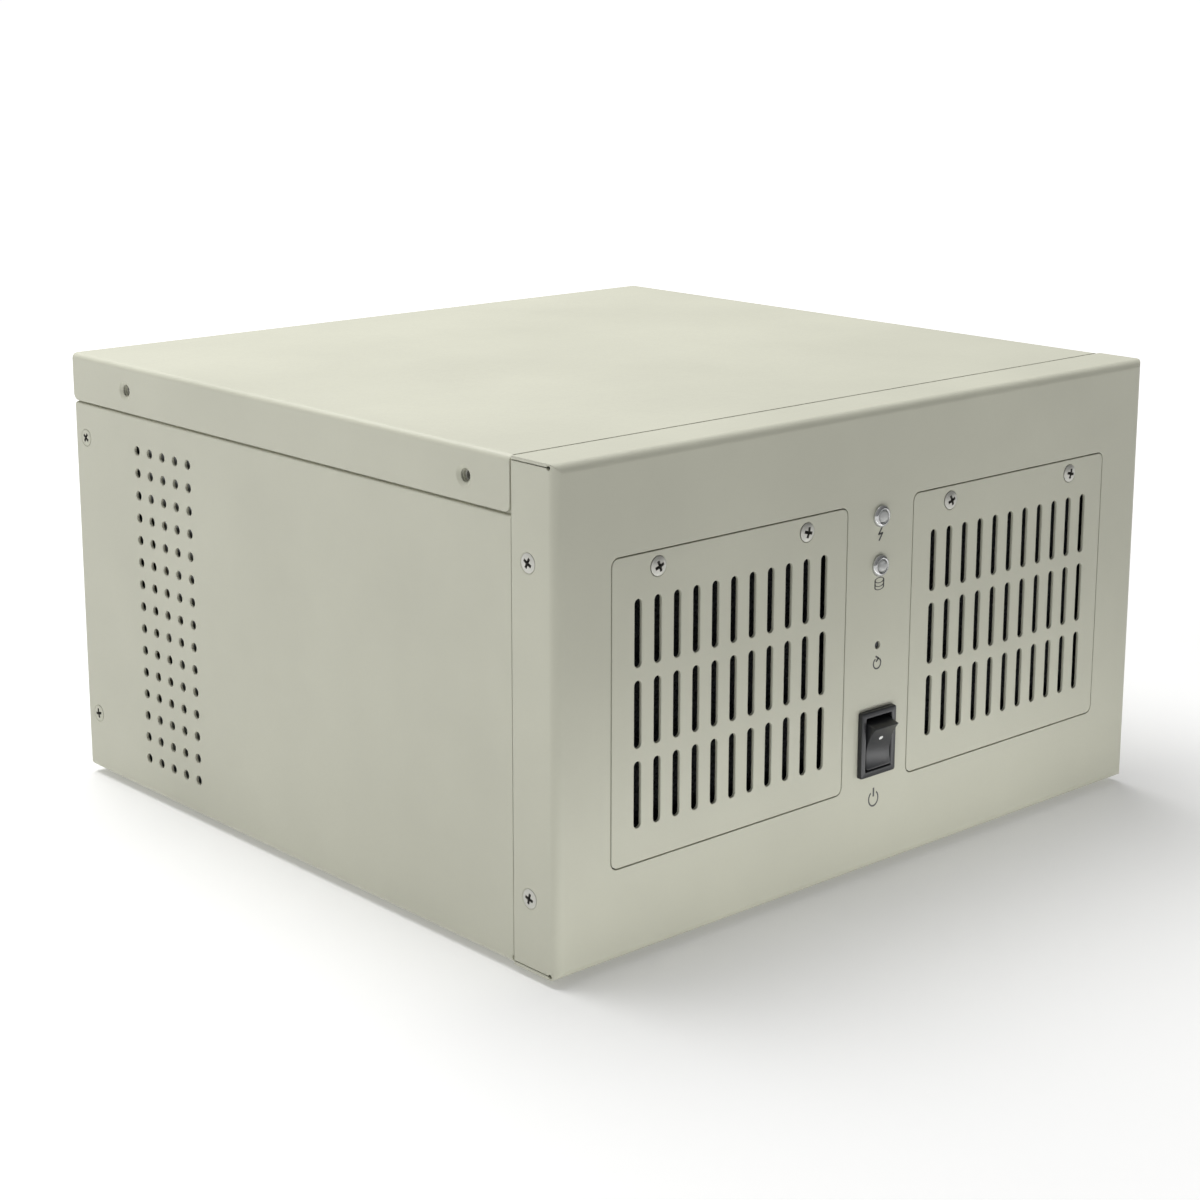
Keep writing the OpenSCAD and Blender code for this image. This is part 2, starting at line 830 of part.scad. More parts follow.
module left_door_screws() {
    color("#d6d7cf")
        door_screws(-1);
}

module right_door_screws() {
    color("#d6d7cf")
        door_screws(1);
}

module filter_tray(side) {
    color("#9fa090")
    translate([side * door_x, 0, 0])
        difference() {
            union() {
                difference() {
                    box([-tray_x - tray_wall, py(sheet), tray_low - tray_wall],
                        [tray_x + tray_wall, py(tray_d), tray_high + tray_wall]);
                    box([-tray_x, py(0), tray_low], [tray_x, py(tray_d - tray_wall), tray_high]);
                }
                box([-tray_x - eps, strip_y, strip_low], [tray_x + eps, strip_y + 1.2, tray_high + eps]);
            }
            rod_y([0, py(tray_d - 3), fan_z], 6, bore_of(fan_size) - 1);
            for (s = [-1, 1])
                rod_y([s * door_screw_x, strip_y - 1, door_screw_z], 4, nut_r);
        }
}

module filter(side) {
    color("#2c2d2c")
    translate([side * door_x, 0, 0])
        box([-tray_x + 0.3, py(6.5), tray_low + 0.3], [tray_x - 0.3, py(tray_d - tray_wall), strip_low - 0.5]);
}

module left_filter_tray() {
    filter_tray(-1);
}

module right_filter_tray() {
    filter_tray(1);
}

module left_filter() {
    filter(-1);
}

module right_filter() {
    filter(1);
}

// ---- Front fans ----

module front_fan_place(side) {
    translate([side * door_x, fan_y, fan_z])
        rotate([-90, 0, 0])
            children();
}

module left_fan_frame() {
    color("#222425")
        front_fan_place(-1)
            fan_frame(fan_size, fan_screw_in, fan_depth);
}

module left_fan_rotor() {
    color("#303335")
        front_fan_place(-1)
            fan_rotor(fan_size, fan_depth);
}

module right_fan_frame() {
    color("#222425")
        front_fan_place(1)
            fan_frame(fan_size, fan_screw_in, fan_depth);
}

module right_fan_rotor() {
    color("#303335")
        front_fan_place(1)
            fan_rotor(fan_size, fan_depth);
}

module fan_screws() {
    color("#1c1c1c")
    for (side = [-1, 1], sx = [-1, 1], sz = [-1, 1])
        translate([side * door_x + sx * fan_pitch / 2, plate_y, fan_z + sz * fan_pitch / 2])
            rotate([90, 0, 0]) {
                cylinder(h = 1.6, r = 3.4);
                translate([0, 0, -fan_flange - sheet])
                    cylinder(h = fan_flange + sheet + eps, r = 2);
            }
}

// ---- Lights, reset button and power rocker ----

module light_holders() {
    color("#d8dadb")
    for (z = [light_z, light_z - light_pitch])
        translate([0, py(0), pz(z)])
            rotate([90, 0, 0])
                difference() {
                    union() {
                        cylinder(h = 0.8, r = light_r);
                        translate([0, 0, 0.8])
                            cylinder(h = 0.9, r1 = light_r, r2 = light_r - 1.2);
                        translate([0, 0, -9])
                            cylinder(h = 9 + eps, r = light_r - 0.7);
                        translate([0, 0, -sheet - 2.4])
                            cylinder(h = 2.4, r = light_r + 1.2, $fn = 6);
                    }
                    translate([0, 0, -10])
                        cylinder(h = 14, r = 2.6);
                }
}

module light_lenses() {
    color("#e9eef0")
    for (z = [light_z, light_z - light_pitch])
        translate([0, py(0), pz(z)])
            rotate([90, 0, 0]) {
                translate([0, 0, -8.6])
                    cylinder(h = 9.2, r = 2.55);
                translate([0, 0, 0.6])
                    intersection() {
                        sphere(2.55);
                        cylinder(h = 3, r = 2.55);
                    }
            }
}

module front_board() {
    color("#2f6b45")
    difference() {
        box([-7, py(front_board_y), pz(reset_z - 14)], [7, py(front_board_y + board_t), pz(light_z + 9)]);
        for (z = [light_z - 4, light_z + 5, reset_z + 8])
            rod_y([4.5, py(front_board_y - 1), pz(z)], 4, 0.8);
    }
}

module reset_switch() {
    color("#1f1f1f")
    difference() {
        box([-3, py(front_board_y - 4), pz(reset_z - 3)], [3, py(front_board_y), pz(reset_z + 3)]);
        rod_y([0, py(front_board_y - 5), pz(reset_z)], 4, reset_r - 0.25);
    }
}

module reset_button() {
    front = 0.7;
    back = front_board_y - 1.4 - reset_travel;
    collar = front_board_y - 5.4 - reset_travel;
    color("#26282a")
    union() {
        rod_y([0, py(front), pz(reset_z)], back - front, reset_r - 0.35);
        rod_y([0, py(collar), pz(reset_z)], 1, reset_r + 0.6);
    }
}

module rocker_housing() {
    color("#1b1c1e")
    translate([0, py(rocker_inset), pz(rocker_z)])
        rocker_housing_shape(power_rocker, rocker_w, rocker_h, rocker_flange, rocker_inset, 15);
}

module rocker_paddle() {
    color("#2b2d30")
    translate([0, py(rocker_inset), pz(rocker_z)])
        rotate([rocker_tilt, 0, 0])
            rocker_paddle_shape(power_rocker);
}

module rocker_terminals() {
    color("#c9a646")
    for (dz = [-7, 0, 7])
        box([-3.15, py(15), pz(rocker_z + dz - 0.4)], [3.15, py(23), pz(rocker_z + dz + 0.4)]);
}

// ---- Rear: I/O shield, ports, slot covers ----

// Ports: [distance from the right end of the shield, width, height, height above the board]
ports = [
    [10, 14.5, 13, 0], [10, 14.5, 13, 14.2], [31, 31, 12, 1], [31, 31, 12, 18],
    [62, 14, 15.6, 0], [80, 16.6, 15, 0], [80, 16.6, 13, 16.6], [99, 14, 15.6, 0],
    [117, 16.6, 15, 0], [137, 12.6, 12, 0], [137, 12.6, 12, 12.6], [137, 12.6, 12, 25.2]
];
function port_x(p) = io_x1 - p[0] - p[1] / 2;
function port_z(p) = board_top + p[3] + p[2] / 2;

module io_shield() {
    color("#c9cbc8")
    difference() {
        union() {
            box([io_x0 - 0.3, rear_y - sheet - 0.5, io_z - 2], [io_x1 + 2, rear_y - sheet, io_z + io_h + 2]);
            translate([(io_x0 + io_x1) / 2, 0, io_z + io_h / 2])
                along_y(rear_y - sheet - eps, sheet + 0.3)
                    rounded(io_w - 0.4, io_h - 0.4, 0.9);
        }
        for (p = ports)
            translate([port_x(p), 0, port_z(p)])
                along_y(rear_y - 3, 6)
                    square([p[1] + 0.4, p[2] + 0.4], center = true);
    }
}

module io_ports() {
    color("#9da0a3")
    for (p = ports)
        translate([port_x(p), 0, port_z(p)])
            difference() {
                along_y(board_y1 - 14, 17.4)
                    square([p[1], p[2] - eps], center = true);
                along_y(board_y1 + 0.4, 4)
                    square([p[1] - 1.6, p[2] - 1.6], center = true);
            }
}

module slot_covers() {
    color("#c4c6c2")
    for (k = [0 : slot_count - 1])
        difference() {
            union() {
                box([slot_x(k) - card_half_w, rear_y - sheet - cover_t, board_top - 5],
                    [slot_x(k) + card_half_w, rear_y - sheet, ledge_z + cover_t]);
                box([slot_x(k) - card_half_w, rear_y - sheet - cover_t, ledge_z],
                    [slot_x(k) + card_half_w, rear_y + ledge_reach - 0.6, ledge_z + cover_t]);
            }
            rod_z([slot_x(k), rear_y + card_screw_out, ledge_z - 1], 4, card_screw_r);
        }
}

module hex_screws() {
    color("#b9bbb8") {
        for (k = [0 : slot_count - 1])
            translate([slot_x(k), rear_y + card_screw_out, ledge_z + cover_t])
                hex_screw(5);
        for (sx = [-1, 1], sz = [-1, 1])
            translate([psu_mid + sx * (psu_w / 2 - psu_screw_in), rear_y,
                psu_z + psu_h / 2 + sz * (psu_h / 2 - psu_screw_in)])
                rotate([-90, 0, 0])
                    hex_screw(5);
    }
}

// ---- Motherboard and what stands on it ----

board_holes = [
    for (x = [board_x0 + 6, board_x0 + 84, board_x1 - 6], y = [board_y0 + 8, board_y0 + 120, board_y1 - 10])
        [x, y]
];

module motherboard() {
    color("#25563b")
    difference() {
        box([board_x0, board_y0, board_z], [board_x1, board_y1, board_top]);
        for (h = board_holes)
            rod_z([h.x, h.y, board_z - 1], board_t + 2, 1.95);
    }
}

module standoffs() {
    color("#c8a850")
    for (h = board_holes)
        difference() {
            rod_z([h.x, h.y, pz(sheet)], standoff_h, 2.9);
            rod_z([h.x, h.y, pz(sheet) + 1.5], standoff_h, 1.5);
        }
}

module board_screws() {
    color("#c9cbc8")
    for (h = board_holes) {
        rod_z([h.x, h.y, board_top], 1.8, 3.1);
        rod_z([h.x, h.y, board_top - 5], 5 + eps, 1.45);
    }
}

memory_y = [for (k = [0 : 3]) cpu_y - cooler_w / 2 - 14 - 10 * k];
memory_x = board_x1 - 146;

module memory_sockets() {
    color("#1e2326")
    for (y = memory_y)
        difference() {
            box([memory_x, y - 3, board_top], [memory_x + 140, y + 3, board_top + 8]);
            box([memory_x + 3, y - 1, board_top + 2], [memory_x + 137, y + 1, board_top + 9]);
        }
}

module memory_modules() {
    color("#2b6a44")
    for (k = [0, 2])
        translate([memory_x + 3.3, memory_y[k], board_top + 2.2]) {
            translate([0, -0.7, 0])
                cube([133.4, 1.4, 30]);
            for (i = [0 : 7])
                translate([6 + i * 15.6, -2, 12])
                    cube([11, 4, 12]);
        }
}

module card_sockets() {
    color("#1b1e22")
    for (k = [0 : slot_count - 1])
        difference() {
            box([slot_x(k) - 3.7, board_y1 - 138 + 40 * (k % 2), board_top],
                [slot_x(k) + 3.7, board_y1 - 48, board_top + 11]);
            box([slot_x(k) - 1, board_y1 - 136 + 40 * (k % 2), board_top + 3],
                [slot_x(k) + 1, board_y1 - 50, board_top + 12]);
        }
}

module board_connectors() {
    color("#e4e2d6")
    for (c = [power_socket, cpu_socket_plug, data_sockets, panel_header])
        difference() {
            box([c[0], c[1], board_top], [c[0] + c[2], c[1] + c[3], board_top + c[4]]);
            box([c[0] + 1, c[1] + 1, board_top + c[4] - 3],
                [c[0] + c[2] - 1, c[1] + c[3] - 1, board_top + c[4] + 1]);
        }
}

module board_capacitors() {
    color("#5b6470") {
        for (k = [0 : 7])
            rod_z([cpu_x - 36 + 10 * k, cpu_y + cooler_w / 2 + 7, board_top], 11, 4);
        for (k = [0 : 3])
            rod_z([board_x0 + 88, board_y0 + 40 + 14 * k, board_top], 9, 3.2);
    }
}

module chipset_heatsink() {
    x = board_x0 + 32;
    y = board_y0 + 44;
    color("#8f979d") {
        box([x, y, board_top], [x + 40, y + 40, board_top + 5]);
        for (k = [0 : 6])
            box([x + 6 * k, y, board_top + 5 - eps], [x + 6 * k + 2, y + 40, board_top + 14]);
    }
}

module cpu_heatsink() {
    low = board_top + 3;
    color("#b4b8bb") {
        box([cpu_x - 19, cpu_y - 19, board_top], [cpu_x + 19, cpu_y + 19, low + eps]);
        box([cpu_x - cooler_w / 2, cpu_y - cooler_w / 2, low + 8],
            [cpu_x + cooler_w / 2, cpu_y + cooler_w / 2, low + 14]);
        box([cpu_x - 19, cpu_y - 19, low], [cpu_x + 19, cpu_y + 19, low + 8 + eps]);
        for (k = [0 : 18])
            translate([cpu_x - cooler_w / 2 + k * (cooler_w - 1) / 18, 0, 0])
                box([0, cpu_y - cooler_w / 2, low + 14 - eps], [1, cpu_y + cooler_w / 2, low + cooler_h]);
    }
}

module cpu_fan_place() {
    translate([cpu_x, cpu_y, board_top + 3 + cooler_h + fan_depth])
        rotate([180, 0, 0])
            children();
}

module cpu_fan_frame() {
    color("#222425")
        cpu_fan_place()
            fan_frame(cpu_fan_size, small_screw_in, fan_depth);
}

module cpu_fan_rotor() {
    color("#303335")
        cpu_fan_place()
            fan_rotor(cpu_fan_size, fan_depth);
}

// ---- Power supply, standing on its side ----

psu_front = psu_y - psu_d;
harness_r = 4;
psu_x1 = psu_x + psu_w;

module psu_case() {
    color("#8d9092")
    difference() {
        union() {
            difference() {
                box([psu_x, psu_front, psu_z], [psu_x1 - psu_wall, psu_y, psu_top]);
                box([psu_x + psu_wall, psu_front + psu_wall, psu_z + psu_wall],
                    [psu_x1 + 1, psu_y - psu_wall, psu_top - psu_wall]);
            }
            for (y = [psu_front + 16, psu_y - 28])
                box([psu_x, y, pz(sheet)], [psu_x1 - 4, y + 12, psu_z + eps]);
        }
        rod_y([psu_mid, psu_y - 3, psu_fan_z], 6, bore_of(psu_fan_size) - 1);
        for (sx = [-1, 1], sz = [-1, 1])
            rod_y([psu_mid + sx * (psu_w / 2 - psu_screw_in), psu_y - 3,
                psu_z + psu_h / 2 + sz * (psu_h / 2 - psu_screw_in)], 6, card_screw_r);
        translate([inlet_x, 0, inlet_z])
            along_y(psu_y - 3, 6)
                square([28.4, 20.8], center = true);
        translate([supply_rocker_x, 0, inlet_z])
            along_y(psu_y - 3, 6)
                square([supply_rocker_w - 1.8, supply_rocker_h - 1.8], center = true);
        for (k = [0 : 9])
            translate([0, psu_front + 26 + 9 * k, psu_z + psu_h / 2])
                along_x(psu_x - 1, 3)
                    rounded(4, 90, 1.9);
        rod_y([psu_x + 50, psu_front - 1, psu_z + 30], 4, harness_r + 0.4);
    }
}

module psu_cover() {
    color("#9a9d9f")
    difference() {
        box([psu_x1 - psu_wall, psu_front, psu_z], [psu_x1, psu_y, psu_top]);
        for (k = [0 : 6])
            translate([0, psu_front + 20 + 8 * k, psu_z + psu_h / 2 + 20])
                along_x(psu_x1 - 3, 6)
                    rounded(3, 60, 1.4);
    }
}

module psu_board() {
    face = psu_x + 6;
    top = face + board_t;
    sink_top = psu_x + 60;
    color("#7a5a35")
    union() {
        box([face, psu_front + 8, psu_z + 6], [top, psu_y - 36, psu_z + psu_h - 10]);
        box([top - eps, psu_front + 50, psu_z + 60], [top + 30, psu_front + 85, psu_z + 92]);
        for (y = [psu_front + 16, psu_front + 92])
            box([top - eps, y, psu_z + 30], [sink_top, y + 3, psu_z + 125]);
        for (z = [psu_z + 26, psu_z + 112])
            rod_x([top - eps, psu_front + 68, z], 34, 11);
        rod_x([top - eps, psu_front + 34, psu_z + 60], 22, 9);
    }
}

module psu_fan_place() {
    translate([psu_mid, psu_y - psu_wall - fan_depth, psu_fan_z])
        rotate([-90, 0, 0])
            children();
}

module psu_fan_frame() {
    color("#222425")
        psu_fan_place()
            fan_frame(psu_fan_size, small_screw_in, fan_depth);
}

module psu_fan_rotor() {
    color("#303335")
        psu_fan_place()
            fan_rotor(psu_fan_size, fan_depth);
}

module psu_fan_guard() {
    wire = 1.4;
    rings = 5;
    reach = bore_of(psu_fan_size) + 1;
    color("#c9cbc8")
    translate([psu_mid, psu_y, psu_fan_z])
        rotate([-90, 0, 0]) {
            for (k = [1 : rings])
                difference() {
                    cylinder(h = wire, r = k * reach / rings);
                    translate([0, 0, -1])
                        cylinder(h = wire + 2, r = k * reach / rings - wire);
                }
            for (a = [45, 135])
                rotate([0, 0, a])
                    translate([-reach + eps, -wire / 2, 0])
                        cube([2 * (reach - eps), wire, wire]);
        }
}

module mains_inlet() {
    color("#17181a")
    translate([inlet_x, psu_y, inlet_z])
        difference() {
            union() {
                along_y(0, 2.4)
                    rounded(48, 26, 4);
                along_y(-17, 17 + eps)
                    rounded(27.6, 20, 2);
            }
            along_y(-12, 20)
                rounded(24.4, 16.6, 3);
        }
}

module psu_switch_housing() {
    color("#1b1c1e")
    translate([supply_rocker_x, psu_y - supply_inset, inlet_z])
        rotate([0, 0, 180])
            rocker_housing_shape(supply_rocker, supply_rocker_w, supply_rocker_h,
                supply_flange, supply_inset, 14);
}

module psu_switch_paddle() {
    color("#2b2d30")
    translate([supply_rocker_x, psu_y - supply_inset, inlet_z])
        rotate([0, 0, 180])
            rotate([rocker_tilt, 0, 0])
                rocker_paddle_shape(supply_rocker);
}

// ---- Hard drive on its bracket ----

module hard_drive() {
    color("#a5a9ab")
    difference() {
        box([drive_x, drive_y, drive_z], [drive_x + drive_t, drive_y + drive_l, drive_z + drive_w]);
        box([drive_x + drive_t - 3, drive_y + 6, drive_z + 8],
            [drive_x + drive_t + 1, drive_y + drive_l - 30, drive_z + drive_w - 8]);
        box([drive_x + 12, drive_y + drive_l - 4, drive_z + 8],
            [drive_x + drive_t - 6, drive_y + drive_l + 1, drive_z + 50]);
    }
}

module drive_bracket() {
    low_y = drive_y + 8;
    high_y = drive_y + drive_l - 8;
    color("#c4c6c2")
    difference() {
        union() {
            box([bracket_face, low_y, pz(sheet)], [bracket_face + sheet, high_y, drive_z + drive_w]);
            box([bracket_face, low_y, pz(sheet)], [bracket_face + 16, high_y, pz(2 * sheet)]);
            box([drive_x - 1, low_y, drive_z - sheet], [bracket_face + eps, high_y, drive_z]);
        }
        for (y = [drive_y + 30, drive_y + drive_l - 36])
            translate([0, y, drive_z + drive_w / 2])
                along_x(bracket_face - 1, 4)
                    rounded(26, 60, 6);
    }
}

// ---- Cables, whole along their routes inside the case ----

module power_harness() {
    socket_x = power_socket[0] + power_socket[2] / 2;
    color("#26262a")
    cable([
        [psu_x + 50, psu_front + 6, psu_z + 30],
        [psu_x + 50, psu_front - 3, psu_z + 30],
        [psu_x + 50, psu_front - 14, psu_z + 28],
        [psu_x + 52, psu_front - 40, pz(24)],
        [psu_x + 60, board_y0 + 8, pz(12)],
        [psu_x + 82, board_y0 - 12, pz(9)],
        [board_x0 + 60, board_y0 - 14, pz(9)],
        [socket_x - 40, board_y0 - 14, pz(14)],
        [socket_x - 14, board_y0 - 10, pz(34)],
        [socket_x, power_socket[1] + 5, pz(44)],
        [socket_x, power_socket[1] + 5, board_top + power_socket[4] + 0.3]
    ], harness_r, [1, 0, 0]);
}

module data_cable() {
    socket_x = data_sockets[0] + 12;
    socket_y = data_sockets[1] + 8;
    drive_end = drive_y + drive_l;
    color("#9c2b25")
    cable([
        [drive_x + 16, drive_end - 3.2, drive_z + 40],
        [drive_x + 16, drive_end + 2.5, drive_z + 40],
        [drive_x + 26, drive_end + 5.5, drive_z + 46],
        [drive_x + 42, drive_end + 1, drive_z + 50],
        [drive_x + 62, drive_end - 32, drive_z + 50],
        [socket_x - 14, socket_y + 20, pz(46)],
        [socket_x, socket_y + 2, pz(34)],
        [socket_x, socket_y, board_top + data_sockets[4] + 0.3]
    ], 2, [0, 0, 1]);
}

module front_panel_lead() {
    header_x = panel_header[0] + 12;
    header_y = panel_header[1] + 3;
    color("#3a3d42")
    cable([
        [0, py(front_board_y + board_t + 0.3), pz(reset_z + 20)],
        [0, plate_y + 6, pz(reset_z + 16)],
        [2, plate_y + 16, pz(reset_z - 20)],
        [header_x, board_y0 - 16, pz(30)],
        [header_x, header_y - 6, pz(34)],
        [header_x, header_y, pz(28)],
        [header_x, header_y, board_top + panel_header[4] + 0.3]
    ], 2, [1, 0, 0]);
}

base_pan();
front_plate();
rear_panel();
front_bezel();
case_screws();
lid();
lid_nuts();
feet();
left_door();
left_door_screws();
right_door();
right_door_screws();
left_filter_tray();
right_filter_tray();
left_filter();
right_filter();
left_fan_frame();
left_fan_rotor();
right_fan_frame();
right_fan_rotor();
fan_screws();
light_holders();
light_lenses();
front_board();
reset_switch();
reset_button();
rocker_housing();
rocker_paddle();
rocker_terminals();
io_shield();
io_ports();
slot_covers();
hex_screws();
motherboard();
standoffs();
board_screws();
memory_sockets();
memory_modules();
card_sockets();
board_connectors();
board_capacitors();
chipset_heatsink();
cpu_heatsink();
cpu_fan_frame();
cpu_fan_rotor();
psu_case();
psu_cover();
psu_board();
psu_fan_frame();
psu_fan_rotor();
psu_fan_guard();
mains_inlet();
psu_switch_housing();
psu_switch_paddle();
hard_drive();
drive_bracket();
power_harness();
data_cable();
front_panel_lead();
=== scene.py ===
import json
import math
import random

import bmesh
import bpy
from mathutils import Matrix, Vector


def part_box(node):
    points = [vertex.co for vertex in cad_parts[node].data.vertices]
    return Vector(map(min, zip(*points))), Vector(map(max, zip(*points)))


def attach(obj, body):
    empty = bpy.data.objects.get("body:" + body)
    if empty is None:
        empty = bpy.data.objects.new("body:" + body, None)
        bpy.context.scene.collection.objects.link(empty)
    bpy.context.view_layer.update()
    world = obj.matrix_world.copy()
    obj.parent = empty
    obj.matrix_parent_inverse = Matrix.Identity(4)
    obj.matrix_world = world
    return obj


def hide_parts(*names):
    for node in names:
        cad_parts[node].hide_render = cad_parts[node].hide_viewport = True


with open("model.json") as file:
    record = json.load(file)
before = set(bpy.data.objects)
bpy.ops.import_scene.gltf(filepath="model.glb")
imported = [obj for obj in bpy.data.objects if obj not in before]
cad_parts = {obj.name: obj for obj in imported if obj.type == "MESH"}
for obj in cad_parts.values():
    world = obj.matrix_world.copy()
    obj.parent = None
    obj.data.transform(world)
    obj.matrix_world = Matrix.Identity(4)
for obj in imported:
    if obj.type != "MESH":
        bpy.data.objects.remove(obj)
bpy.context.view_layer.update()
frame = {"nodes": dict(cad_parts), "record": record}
nodes = frame["nodes"]
record = frame["record"]
scene = bpy.context.scene
mm = 0.001
print("stage: frame loaded,", len(nodes), "nodes")


# camera, light and floor

cameraSet = {
    "azimuth": -42.03,  # degrees round the object
    "elevation": 12.79,
    "roll": 0.09,
    "distance": 1.0669,
    "target": (-0.001, 0.0, 0.1272),
    "focal": 1.99725,  # in widths of the image
    "shiftDown": 0.08,
}
lightSet = {
    "key": {"size": 1.5, "power": 28.5, "place": (-0.1, 0.5, 1.55), "target": (0.0, 0.0, 0.1)},
    "frontGlow": {"size": (0.42, 0.04), "power": 0.135, "place": (-0.03, -0.25, 0.01),
                  "target": (-0.03, -0.16, 0.02)},
    "skyWay": (-0.42, 0.5, 0.75),  # where the sky is brightest
    "skySpan": (-0.55, 0.95),
    "skyTop": 0.42,
    "skyLow": 0.0,
    "backdrop": 0.97,
}
# fade and glow set the floor's painted light: a glow of its own that rises with the distance from the middle
floorSet = {"size": 30.0, "colour": (0.8, 0.8, 0.795), "fade": (0.4, 1.7), "glow": (0.2, 0.78)}


def addNode(tree, kind, **settings):
    node = tree.nodes.new(kind)
    for name, value in settings.items():
        setattr(node, name, value)
    return node


def link(tree, source, target):
    tree.links.new(source, target)


def aimed(thing, place, target):
    thing.location = place
    thing.rotation_mode = "QUATERNION"
    thing.rotation_quaternion = (Vector(target) - Vector(place)).to_track_quat("-Z", "Y")


def makeCamera(s):
    turn, lift = math.radians(s["azimuth"]), math.radians(s["elevation"])
    back = Vector((math.sin(turn) * math.cos(lift), -math.cos(turn) * math.cos(lift), math.sin(lift)))
    camera = bpy.data.objects.new("camera", bpy.data.cameras.new("camera"))
    scene.collection.objects.link(camera)
    aimed(camera, Vector(s["target"]) + back * s["distance"], s["target"])
    roll = Matrix.Rotation(math.radians(s["roll"]), 4, "Z").to_quaternion()
    camera.rotation_quaternion = camera.rotation_quaternion @ roll
    camera.data.sensor_width = 36.0
    camera.data.lens = 36.0 * s["focal"]
    camera.data.shift_y = -s["shiftDown"]
    camera.data.clip_start = 0.05
    scene.camera = camera


def areaLight(name, s):
    light = bpy.data.objects.new(name, bpy.data.lights.new(name, "AREA"))
    light.data.shape = "RECTANGLE" if isinstance(s["size"], tuple) else "DISK"
    if light.data.shape == "DISK":
        light.data.size = s["size"]
    else:
        light.data.size, light.data.size_y = s["size"]
    light.data.energy = s["power"]
    light.visible_camera = False
    scene.collection.objects.link(light)
    aimed(light, s["place"], s["target"])


def makeLight(s):
    for name in ("key", "frontGlow"):
        areaLight(name, s[name])
    world = bpy.data.worlds.new("studio")
    scene.world = world
    world.use_nodes = True
    tree = world.node_tree
    sky = tree.nodes["Background"]
    place = addNode(tree, "ShaderNodeTexCoord")
    turn = addNode(tree, "ShaderNodeVectorMath", operation="DOT_PRODUCT")
    turn.inputs[1].default_value = s["skyWay"]
    span = addNode(tree, "ShaderNodeMapRange")
    span.inputs["From Min"].default_value, span.inputs["From Max"].default_value = s["skySpan"]
    ramp = addNode(tree, "ShaderNodeValToRGB")
    for element, level in zip(ramp.color_ramp.elements, (s["skyLow"], s["skyTop"])):
        element.color = (level, level, level * 1.01, 1)
    link(tree, place.outputs["Generated"], turn.inputs[0])
    link(tree, turn.outputs["Value"], span.inputs["Value"])
    link(tree, span.outputs["Result"], ramp.inputs["Fac"])
    link(tree, ramp.outputs["Color"], sky.inputs["Color"])
    backdrop = addNode(tree, "ShaderNodeBackground")  # what the camera itself sees behind the floor
    backdrop.inputs["Color"].default_value = (s["backdrop"], s["backdrop"], s["backdrop"], 1)
    seen = addNode(tree, "ShaderNodeLightPath")
    both = addNode(tree, "ShaderNodeMixShader")
    link(tree, seen.outputs["Is Camera Ray"], both.inputs["Fac"])
    link(tree, sky.outputs["Background"], both.inputs[1])
    link(tree, backdrop.outputs["Background"], both.inputs[2])
    link(tree, both.outputs["Shader"], tree.nodes["World Output"].inputs["Surface"])


def makeFloor(s):
    bm = bmesh.new()
    bmesh.ops.create_grid(bm, x_segments=1, y_segments=1, size=s["size"])
    mesh = bpy.data.meshes.new("floor")
    bm.to_mesh(mesh)
    bm.free()
    floor = bpy.data.objects.new("floor", mesh)
    scene.collection.objects.link(floor)
    material = bpy.data.materials.new("floorPaint")
    material.use_nodes = True
    tree = material.node_tree
    shader = tree.nodes["Principled BSDF"]
    shader.inputs["Base Color"].default_value = (*s["colour"], 1)
    shader.inputs["Roughness"].default_value = 0.7
    # painted light: the floor glows by itself, weakly near the middle and more brightly further out
    shader.inputs["Emission Strength"].default_value = 1.0
    place = addNode(tree, "ShaderNodeTexCoord")
    reach = addNode(tree, "ShaderNodeVectorMath", operation="LENGTH")
    fade = addNode(tree, "ShaderNodeMapRange")
    for socket, value in zip(("From Min", "From Max", "To Min", "To Max"), (*s["fade"], *s["glow"])):
        fade.inputs[socket].default_value = value
    link(tree, place.outputs["Object"], reach.inputs[0])
    link(tree, reach.outputs["Value"], fade.inputs["Value"])
    link(tree, fade.outputs["Result"], shader.inputs["Emission Color"])
    mesh.materials.append(material)
    return floor


makeCamera(cameraSet)
makeLight(lightSet)
floor = makeFloor(floorSet)
glowOn = bpy.data.collections.new("glowOn")  # the low glow leaves the floor out
glowOn.objects.link(floor)
glowOn.collection_objects[0].light_linking.link_state = "EXCLUDE"
bpy.data.objects["frontGlow"].light_linking.receiver_collection = glowOn
scene.view_settings.view_transform = "Standard"
print("stage: camera, light and floor")


# shader helpers

def newGroup(name, inputs, outputs):
    group = bpy.data.node_groups.new(name, "ShaderNodeTree")
    for socket, kind, value in inputs:
        made = group.interface.new_socket(name=socket, in_out="INPUT", socket_type=kind)
        made.default_value = value
    for socket, kind in outputs:
        group.interface.new_socket(name=socket, in_out="OUTPUT", socket_type=kind)
    return group, group.nodes.new("NodeGroupInput"), group.nodes.new("NodeGroupOutput")


def makeMath(tree, operation, first, second=None, clamp=False):
    node = addNode(tree, "ShaderNodeMath", operation=operation, use_clamp=clamp)
    for place, value in enumerate((first, second)):
        if value is None:
            continue
        if isinstance(value, (int, float)):
            node.inputs[place].default_value = value
        else:
            link(tree, value, node.inputs[place])
    return node.outputs[0]


def product(tree, first, second):
    return makeMath(tree, "MULTIPLY", first, second)


def makeRange(tree, value, low, high, toLow=0.0, toHigh=1.0):
    node = addNode(tree, "ShaderNodeMapRange", clamp=True)
    for socket, given in (("Value", value), ("From Min", low), ("From Max", high),
                          ("To Min", toLow), ("To Max", toHigh)):
        if isinstance(given, (int, float)):
            node.inputs[socket].default_value = given
        else:
            link(tree, given, node.inputs[socket])
    return node.outputs["Result"]


